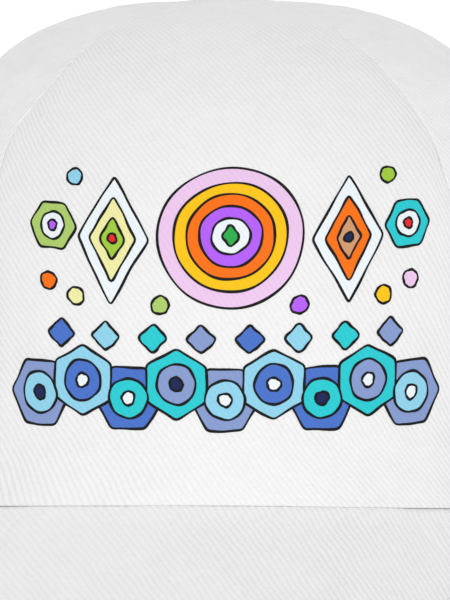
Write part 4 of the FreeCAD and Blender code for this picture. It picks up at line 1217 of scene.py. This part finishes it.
def strap_cloth(name, node, start_x, end_x, depth_at):
    """Folded strap between two places, with a row of stitches along each edge on both faces."""
    start, end = strap_azimuth(start_x), strap_azimuth(end_x)
    length = float(np.linalg.norm(crown_skin(start, 0.1) - crown_skin(end, 0.1))) * 1.04
    azimuths = (start + (end - start) * stations(length, 0.8, (0.0, 0.12, 0.3, 0.6)))[None, :]
    heights = STRAP_WIDTH * stations(STRAP_WIDTH, 0.9, STRAP_EDGE)[:, None]
    azimuth, height = np.broadcast_arrays(azimuths, heights)
    rise = rise_at_level(azimuth, STRAP_FOOT + height)
    depth = depth_at(azimuth)
    along = np.abs(azimuth - start) / abs(end - start) * length
    from_side = np.minimum(height, STRAP_WIDTH - height)
    from_edge = np.minimum(from_side, np.minimum(along, length - along))
    drawn_in = rounded(from_edge, STRAP_THICKNESS / 2) * 0.9
    drawn_in = drawn_in + 0.16 * bump(from_side, STRAP_STITCH_MARGIN, 0.45)
    full = 0.08 * np.sin(math.pi * height / STRAP_WIDTH) + 0.03 * ripple(along + height * 0.6, 77, 6.0)
    outer = crown_point(azimuth, rise, full - depth - drawn_in)
    inner = crown_point(azimuth, rise, drawn_in - depth - STRAP_THICKNESS)
    weave = np.stack([along, height], axis=-1)
    dress(closed_cloth(name, outer, inner, weave, strap_twill), "cap", "strap_cloth", node)
    rows = []
    for level in (STRAP_STITCH_MARGIN, STRAP_WIDTH - STRAP_STITCH_MARGIN):
        line = start + (end - start) * np.linspace(0.02, 0.97, 200)
        rises = rise_at_level(line, STRAP_FOOT + level)
        rows.append(row_outside(line, rises, -(depth_at(line) + STRAP_THREAD_DEPTH)))
        rows.append(row_inside(line, rises, depth_at(line) + STRAP_THICKNESS - STRAP_THREAD_DEPTH))
    running(name + "_stitches", rows, "strap_cloth", seed=12)


def strap_loop():
    """End of the short strap, folded round the clasp's bar."""
    azimuth = strap_azimuth(-CLASP_OFFSET)
    middle = float(rise_at_level(azimuth, STRAP_FOOT + STRAP_WIDTH / 2))
    along = crown_skin(azimuth - 1, middle) - crown_skin(azimuth + 1, middle)
    along = unit(along * (1, 1, 0))
    out = np.cross(along, UP)
    out = out * np.sign(out[1])
    bar_azimuth = strap_azimuth(-CLASP_OFFSET + BAR_ALONG)
    bar_rise = float(rise_at_level(bar_azimuth, STRAP_FOOT + STRAP_WIDTH / 2))
    bar = crown_point(bar_azimuth, bar_rise, -(LINING_DEPTH + STRAP_THICKNESS / 2))
    turns = np.radians(np.linspace(-165, 165, 60))[None, :]
    levels = (STRAP_WIDTH * (stations(STRAP_WIDTH, 0.9, STRAP_EDGE) - 0.5))[:, None]
    turn, level = np.broadcast_arrays(turns, levels)
    edge = STRAP_WIDTH / 2 - np.abs(level)
    taper = rounded(edge, LOOP_THICKNESS / 2) * 0.9
    dents = 0.14 * bump(edge, STRAP_STITCH_MARGIN, 0.45)

    def ring(radius):
        sweep = along * (radius * np.cos(turn))[..., None] + out * (radius * np.sin(turn))[..., None]
        return bar + sweep + UP * level[..., None]

    outer, inner = ring(LOOP_RADIUS - taper - dents), ring(LOOP_RADIUS - LOOP_THICKNESS + taper)
    weave = np.stack([turn * LOOP_RADIUS, level], axis=-1)
    piece = closed_cloth("short_strap_loop", outer, inner, weave, strap_twill)
    dress(piece, "cap", "strap_cloth", "strap_short")


strap_cloth(
    "long_strap", "strap_long", ARCH_HALF_WIDTH + STRAP_SEWN, -CLASP_OFFSET - CLASP_LENGTH / 2 - STRAP_TAIL,
    long_strap_depth,
)
strap_cloth(
    "short_strap", "strap_short", -CLASP_OFFSET + BAR_ALONG - LOOP_RADIUS + LOOP_THICKNESS / 2,
    -ARCH_HALF_WIDTH - STRAP_SEWN, short_strap_depth,
)
strap_loop()


# ---- button and eyelets


def ring_ways(outward, angles):
    """Directions round an outward direction."""
    one = unit(np.cross(outward, (0.0, 1.0, 0.2)))
    return one * np.cos(angles)[..., None] + np.cross(outward, one) * np.sin(angles)[..., None]


def turned_piece(name, profile, centre, outward, material, columns, is_ring=False, relief=None):
    """A profile of radius and height turned about an outward direction."""
    profile = np.array(profile, float)
    angles = np.linspace(0, 2 * math.pi, columns, endpoint=False)
    radius, height = (np.repeat(values[:, None], columns, axis=1) for values in profile.T)
    if relief is not None:
        more_radius, more_height = relief(radius, height, angles[None, :])
        radius, height = radius + more_radius, height + more_height
    outward = np.asarray(outward, float)
    points = centre + ring_ways(outward, angles) * radius[..., None] + outward * height[..., None]
    index = np.arange(radius.size).reshape(radius.shape)
    index = np.concatenate([index, index[:1]]) if is_ring else index
    beside = np.roll(index, -1, axis=1)
    faces = np.stack([index[:-1], index[1:], beside[1:], beside[:-1]], axis=-1).reshape(-1, 4).tolist()
    if not is_ring:
        faces += [index[0], index[-1, ::-1]]
    weave = np.stack([radius * np.cos(angles), radius * np.sin(angles)], axis=-1).reshape(-1, 2)
    return mesh_piece(name, points.reshape(-1, 3), faces, material, weave)


def covered_button():
    dome = BUTTON_HEIGHT - BUTTON_EDGE
    ball = (BUTTON_RADIUS ** 2 + dome ** 2) / (2 * dome)
    turns = np.linspace(0.02, math.asin(BUTTON_RADIUS / ball), 34)
    profile = [(ball * math.sin(t), BUTTON_SEAT + BUTTON_HEIGHT - ball * (1 - math.cos(t))) for t in turns]
    edge = ((0.14, 1.35), (0.12, 0.95), (0.0, 0.55), (-0.25, 0.2), (-0.6, -0.1), (-1.2, -0.25))
    profile += [(BUTTON_RADIUS + more, height) for more, height in edge] + [(1.0, -0.25)]

    def pleats(radius, height, angle):
        share = np.clip((radius / BUTTON_RADIUS - 0.62) / 0.38, 0, 1) ** 2
        turn = angle * 17 + 1.2 * np.sin(angle * 3)
        folds = np.sin(turn) * 0.6 + np.sin(angle * 29 + 2.0) * 0.4
        return 0.10 * share * folds, 0.06 * share * np.cos(turn)

    piece = turned_piece("button_cover", profile, crown_skin(0.0, 1.0), UP, button_twill, 112, relief=pleats)
    dress(piece, "cap", "button_cloth", "top_button")


def eyelet(side, azimuth, name, node):
    """Embroidered ring, with threads that run out from its hole."""
    centre = crown_skin(side * azimuth, EYELET_RISE)
    outward = crown_outward(side * azimuth, EYELET_RISE)
    profile = [(2.05, -0.9), (2.0, 0.1), (2.2, 0.42), (2.8, 0.55), (3.6, 0.58), (4.3, 0.42), (4.8, 0.1),
               (4.8, -0.05), (2.7, -0.05), (2.65, -0.9)]
    ring = turned_piece(name, profile, centre, outward, embroidery_thread, 72, is_ring=True)
    dress(ring, "cap", "eyelet_thread", node)
    ways = ring_ways(outward, np.linspace(0, 2 * math.pi, EYELET_THREADS, endpoint=False))
    places = centre + ways * 3.5 + outward * 0.42
    sewn(name + "_threads", laid_threads, [(places, np.broadcast_to(outward, ways.shape), ways)],
         EYELET_THREAD_SIZE, embroidery_thread, "eyelet_thread", unevenness=0.07, seed=20)


covered_button()
for side, word in ((1, "left"), (-1, "right")):
    eyelet(side, SIDE_EYELET, "side_eyelet_" + word, "eyelet_side_" + word)
    eyelet(side, BACK_EYELET, "back_eyelet_" + word, "eyelet_back_" + word)


# ---- clasp and washer

FLAT_ANGLE, BEVEL_ANGLE, SMOOTH_ANGLE = (math.radians(degrees) for degrees in (1.0, 38.0, 32.0))


def tumbled(name, node, body, slot, material, width):
    """A metal piece with its sharp edges broken, as tumbling leaves them."""
    mesh = frame["nodes"][node].data.copy()
    mesh.name = name
    shape = bmesh.new()
    shape.from_mesh(mesh)
    bmesh.ops.remove_doubles(shape, verts=shape.verts, dist=1e-6)
    bmesh.ops.dissolve_limit(shape, angle_limit=FLAT_ANGLE, verts=shape.verts, edges=shape.edges)
    sharp = [edge for edge in shape.edges if edge.is_manifold and edge.calc_face_angle() > BEVEL_ANGLE]
    bmesh.ops.bevel(
        shape, geom=sharp, offset=width * 0.001, segments=2, affect="EDGES", profile=0.5, clamp_overlap=True
    )
    bmesh.ops.triangulate(shape, faces=[face for face in shape.faces if len(face.verts) > 4])
    shape.to_mesh(mesh)
    shape.free()
    mesh.shade_smooth()
    mesh.set_sharp_from_angle(angle=SMOOTH_ANGLE)
    mesh.materials.clear()
    mesh.materials.append(material)
    dress(new_object(name, mesh), body, slot, node)


tumbled("clasp_body", "clasp_frame", "cap", "clasp_metal", clasp_steel, 0.15)
tumbled("clasp_plate", "clasp_lever", "lever", "clasp_metal", clasp_steel, 0.18)
tumbled("clasp_hinge_pin", "clasp_pin", "cap", "clasp_metal", clasp_steel, 0.1)
tumbled("washer_disc", "button_washer", "cap", "washer_metal", washer_metal, 0.15)


# ---- printed front

PRINT_MIDDLE = np.array([2.6, 50.5])
FILM_LIFT, FILM_STEP, LINE_LIFT = 0.06, 0.04, 0.012
LINE_WIDTH, OUTLINE_STEP, FILM_MESH_STEP, FILM_MESH_MARGIN, INK_GAMMA = 0.6, 0.5, 1.7, 0.5, 2.2
BLUES = ("periwinkle", "sky", "cobalt", "turquoise")


def outline_of(corners, seed):
    """A hand-drawn closed outline through corners, softened, and its outward directions."""
    closed = np.vstack([corners, corners[:1]])
    lengths = line_lengths(closed)
    count = max(int(lengths[-1] / OUTLINE_STEP), 16)
    at = np.linspace(0, lengths[-1], count, endpoint=False)
    line = np.stack([np.interp(at, lengths, values) for values in closed.T], axis=-1)
    for _ in range(3):
        line = (np.roll(line, 1, axis=0) + 2 * line + np.roll(line, -1, axis=0)) / 4
    way = unit(np.roll(line, -1, axis=0) - np.roll(line, 1, axis=0))
    square = np.stack([way[:, 1], -way[:, 0]], axis=-1)
    share = at / lengths[-1] * 2 * math.pi
    draw = np.random.default_rng(seed)
    wander = sum(np.sin(share * n + draw.uniform(0, 6.28)) * 0.12 / n ** 0.5 for n in (2, 3, 5, 8))
    return line + square * wander[:, None], square


def regular(x, y, radius, sides=60, turn=0.0):
    """Corners of a regular polygon, or of a disc where it has many sides."""
    angles = math.radians(turn) + 2 * math.pi * np.arange(sides) / sides
    return np.stack([x + radius * np.cos(angles), y + radius * np.sin(angles)], axis=-1)


def lozenge(x, y, half_width, half_height):
    return np.array([(x + half_width, y), (x, y + half_height), (x - half_width, y), (x, y - half_height)])


def print_shapes():
    """Rings, lozenges, dots and hexagons: corners, ink and how many films lie under each."""
    shapes = []
    for k in range(9):
        x, y = -46.0 + 11.5 * k, -24.0 + (2.0 if k % 2 else -1.6)
        shapes.append((regular(x, y, 8.3, 6, 30 * (k % 2)), BLUES[k % 4], k % 2))
        shapes.append((regular(x, y, 4.7), BLUES[(k + 1) % 4], 2))
        shapes.append((regular(x, y, 1.7), "paper" if k % 3 else "navy", 3))
    for k in range(8):
        shapes.append((lozenge(-40.2 + 11.5 * k, -11.4, 3.6, 3.6), BLUES[(2, 1, 3, 0)[k % 4]], 2))
    rings = ((17.5, "lilac"), (13.6, "yellow"), (10.6, "orange"), (7.6, "violet"), (4.6, "paper"))
    shapes += [(regular(1.0, 13.5, radius), ink, level) for level, (radius, ink) in enumerate(rings)]
    shapes.append((lozenge(1.0, 13.5, 2.3, 3.0), "emerald", 5))
    for x, inks in ((-27.5, ("paper", "cream", "lime")), (29.5, ("paper", "orange", "clay"))):
        for level, (half_width, half_height) in enumerate(((9.0, 16.0), (6.0, 10.6), (3.2, 5.6))):
            shapes.append((lozenge(x, 12.0, half_width, half_height), inks[level], level))
    shapes.append((regular(-27.5, 12.0, 1.3), "red", 3))
    shapes.append((regular(29.5, 12.0, 1.3), "navy", 3))
    for x, ink, core in ((-43.5, "leaf", "violet"), (45.5, "turquoise", "red")):
        shapes.append((regular(x, 14.0, 6.6, 6), ink, 0))
        shapes.append((regular(x, 14.0, 3.4), "paper", 1))
        shapes.append((regular(x, 14.0, 1.4), core, 2))
    dots = ((-44.0, 0.5, "orange"), (-36.5, -2.5, "cream"), (38.5, -2.5, "yellow"), (46.0, 0.5, "lilac"),
            (-15.5, -3.5, "leaf"), (17.5, -3.5, "violet"), (-38.0, 27.0, "sky"), (40.0, 27.0, "lime"))
    return shapes + [(regular(x, y, 2.2, 30), ink, 0) for x, y, ink in dots]


def print_place(flat):
    """Azimuth and rise on the front's cloth for places of the print."""
    across, up = (flat + PRINT_MIDDLE).T
    rise = np.interp(up, UP_TABLE[200], TABLE_RISES)
    ends = np.full(len(flat), 60.0)
    return halved(-ends, ends, lambda azimuth: looked_up(ROUND_TABLE, azimuth, rise) < across), rise


def is_inside(points, outline):
    x, y = points[:, 0][:, None], points[:, 1][:, None]
    x0, y0 = outline.T[:, None]
    x1, y1 = np.roll(outline, -1, axis=0).T[:, None]
    crosses = ((y0 > y) != (y1 > y)) & (x < (x1 - x0) * (y - y0) / (y1 - y0 + 1e-12) + x0)
    return crosses.sum(1) % 2 == 1


def filled(line):
    """Points and triangles that fill an outline, and the edges round it."""
    sides = [np.arange(low, high, FILM_MESH_STEP) for low, high in zip(line.min(0), line.max(0))]
    grid = np.stack(np.meshgrid(*sides), -1).reshape(-1, 2)
    grid = grid[is_inside(grid, line)]
    if len(grid):
        grid = grid[nearest(grid, np.vstack([line, line[:1]]))[0] > FILM_MESH_MARGIN]
    places = [Vector(place) for place in np.vstack([line, grid]).tolist()]
    points, _, triangles = delaunay_2d_cdt(places, [], [list(range(len(line)))], 1, 1e-5)[:3]
    edges = {(a, b): None for face in triangles for a, b in zip(face, face[1:] + face[:1])}
    rim = [(a, b) for a, b in edges if (b, a) not in edges]
    return np.array([tuple(point) for point in points]), triangles, rim


class Films:
    """Closed films of ink on the front's cloth, gathered into one piece."""

    def __init__(self):
        self.points, self.faces, self.weave, self.inks = [], [], [], []

    def add(self, flat, lift, triangles, rim, ink):
        azimuth, rise = print_place(flat)
        cloth = front_lift(azimuth, rise)
        count, first = len(flat), sum(map(len, self.points))
        self.points += [crown_point(azimuth, rise, cloth + lift), crown_point(azimuth, rise, cloth)]
        self.weave += [weave_place(azimuth, rise, 0.0)] * 2
        self.inks += [np.tile((*np.array(INKS[ink]) ** INK_GAMMA, 1.0), (2 * count, 1))]
        self.faces += [[first + i for i in face] for face in triangles]
        self.faces += [[first + count + i for i in face[::-1]] for face in triangles]
        self.faces += [[first + b, first + a, first + count + a, first + count + b] for a, b in rim]

    def finish(self, name):
        points, weave = np.concatenate(self.points), np.concatenate(self.weave)
        piece = mesh_piece(name, points, self.faces, print_ink, weave, is_smooth=False)
        ink = piece.data.attributes.new("ink", "FLOAT_COLOR", "POINT")
        ink.data.foreach_set("color", np.concatenate(self.inks).astype(np.float32).ravel())
        dress(piece, "cap", "crown_cloth")


def printed_films():
    fills, lines = Films(), Films()
    for number, (corners, ink, level) in enumerate(print_shapes()):
        line, square = outline_of(corners, number + 5)
        lift = FILM_LIFT + FILM_STEP * level
        flat, triangles, rim = filled(line)
        fills.add(flat, lift, triangles, rim, ink)
        draw = np.random.default_rng(number + 90)
        n = len(line)
        turn = np.linspace(0, 2 * math.pi, n, endpoint=False)
        uneven = 0.16 * np.sin(turn * 3 + draw.uniform(0, 6)) + 0.1 * np.sin(turn * 7 + draw.uniform(0, 6))
        half_width = (square.T * LINE_WIDTH * (1 + uneven)).T / 2
        ring = [[k, (k + 1) % n, n + (k + 1) % n, n + k] for k in range(n)]
        edge = [(a, b) for a, b, _, _ in ring] + [(d, c) for _, _, d, c in ring]
        lines.add(np.vstack([line + half_width, line - half_width]), lift + LINE_LIFT, ring, edge, "black")
    fills.finish("print_fills")
    lines.finish("print_lines")


printed_films()


# ---- camera, light and floor


def photo_camera():
    """The photograph's camera: how far from the crown's foot, over its plane and to the left it is."""
    yaw, pitch, distance = math.radians(2.3), math.radians(7.0), 1150.0
    focal_pixels, foot_pixel, middle_pixel, picture_height = 4471.0, (230.5, 455), (225, 300), 600
    forward = np.array([-math.sin(yaw) * math.cos(pitch), math.cos(yaw) * math.cos(pitch), -math.sin(pitch)])
    right = np.array([math.cos(yaw), math.sin(yaw), 0.0])
    up = np.cross(right, forward)
    across, down = (np.array(middle_pixel) - foot_pixel) / focal_pixels
    aim = unit(forward + right * across - up * down)
    right = unit(np.cross(aim, up))
    turn = np.stack([right, np.cross(right, aim), -aim], axis=1)
    camera = bpy.data.cameras.new("photo_camera")
    camera.sensor_width = 36.0
    camera.lens = camera.sensor_width * focal_pixels / picture_height
    camera.clip_start, camera.clip_end = 0.05, 100.0
    holder = new_object("photo_camera", camera)
    place = Vector(to_row(-forward * distance))
    holder.matrix_world = Matrix.Translation(place) @ Matrix((TIP @ turn).tolist()).to_4x4()
    bpy.context.scene.camera = holder


def softbox(name, place, power):
    lamp = bpy.data.lights.new(name, "AREA")
    lamp.shape, lamp.size, lamp.energy = "DISK", 1.1, power
    holder = new_object(name, lamp)
    way = Vector((0, 0, 0.07)) - Vector(place)
    holder.matrix_world = Matrix.Translation(place) @ way.to_track_quat("-Z", "Y").to_matrix().to_4x4()


def shown_to_camera(tree, lighting, shown, output):
    """Ends a tree with one shader for what lights the object, and one for what is seen or mirrored."""
    rays = add_node(tree, "ShaderNodeLightPath").outputs
    seen = rays["Is Camera Ray"]
    for kind in ("Is Glossy Ray", "Is Transmission Ray"):
        seen = add_node(tree, "ShaderNodeMath", {0: seen, 1: rays[kind]}, operation="MAXIMUM").outputs[0]
    mixed = add_node(tree, "ShaderNodeMixShader", {0: seen, 1: lighting, 2: shown}).outputs[0]
    tree.links.new(mixed, tree.nodes[output].inputs["Surface"])


def sky():
    """A white backdrop, whose light is strongest at the horizon."""
    world = bpy.data.worlds.new("studio")
    world.use_nodes = True
    tree = world.node_tree
    way = add_node(tree, "ShaderNodeTexCoord").outputs["Generated"]
    height = add_node(tree, "ShaderNodeSeparateXYZ", {0: way}).outputs["Z"]
    dimmed = add_node(tree, "ShaderNodeMapRange", {"Value": height, "To Min": 1.18, "To Max": 0.46})
    ground = tree.nodes["Background"]
    ground.inputs["Strength"].default_value = 1.0
    tree.links.new(dimmed.outputs["Result"], ground.inputs["Color"])
    white = add_node(tree, "ShaderNodeBackground", {"Color": (1, 1, 1, 1), "Strength": 1.0})
    shown_to_camera(tree, ground.outputs[0], white.outputs[0], "World Output")
    bpy.context.scene.world = world


def pale_floor():
    mesh = bpy.data.meshes.new("floor")
    mesh.from_pydata([(-30, -30, 0), (30, -30, 0), (30, 30, 0), (-30, 30, 0)], [], [(0, 1, 2, 3)])
    surface = Surface("pale_floor", (0.86, 0.86, 0.86), 0.9, Specular_IOR_Level=0.1)
    plain = surface.shader.outputs[0]
    glow = surface.node("ShaderNodeEmission", {"Color": (1, 1, 1, 1), "Strength": 0.42}).outputs[0]
    lit = surface.node("ShaderNodeAddShader", {0: plain, 1: glow}).outputs[0]
    shown_to_camera(surface.tree, plain, lit, "Material Output")
    mesh.materials.append(surface.material)
    new_object("floor", mesh)


bpy.context.scene.view_settings.view_transform = "Standard"
photo_camera()
sky()
softbox("front_softbox", (0.15, -1.6, 1.1), 9.1)
softbox("back_softbox", (-0.7, 1.8, 1.0), 2.5)
pale_floor()
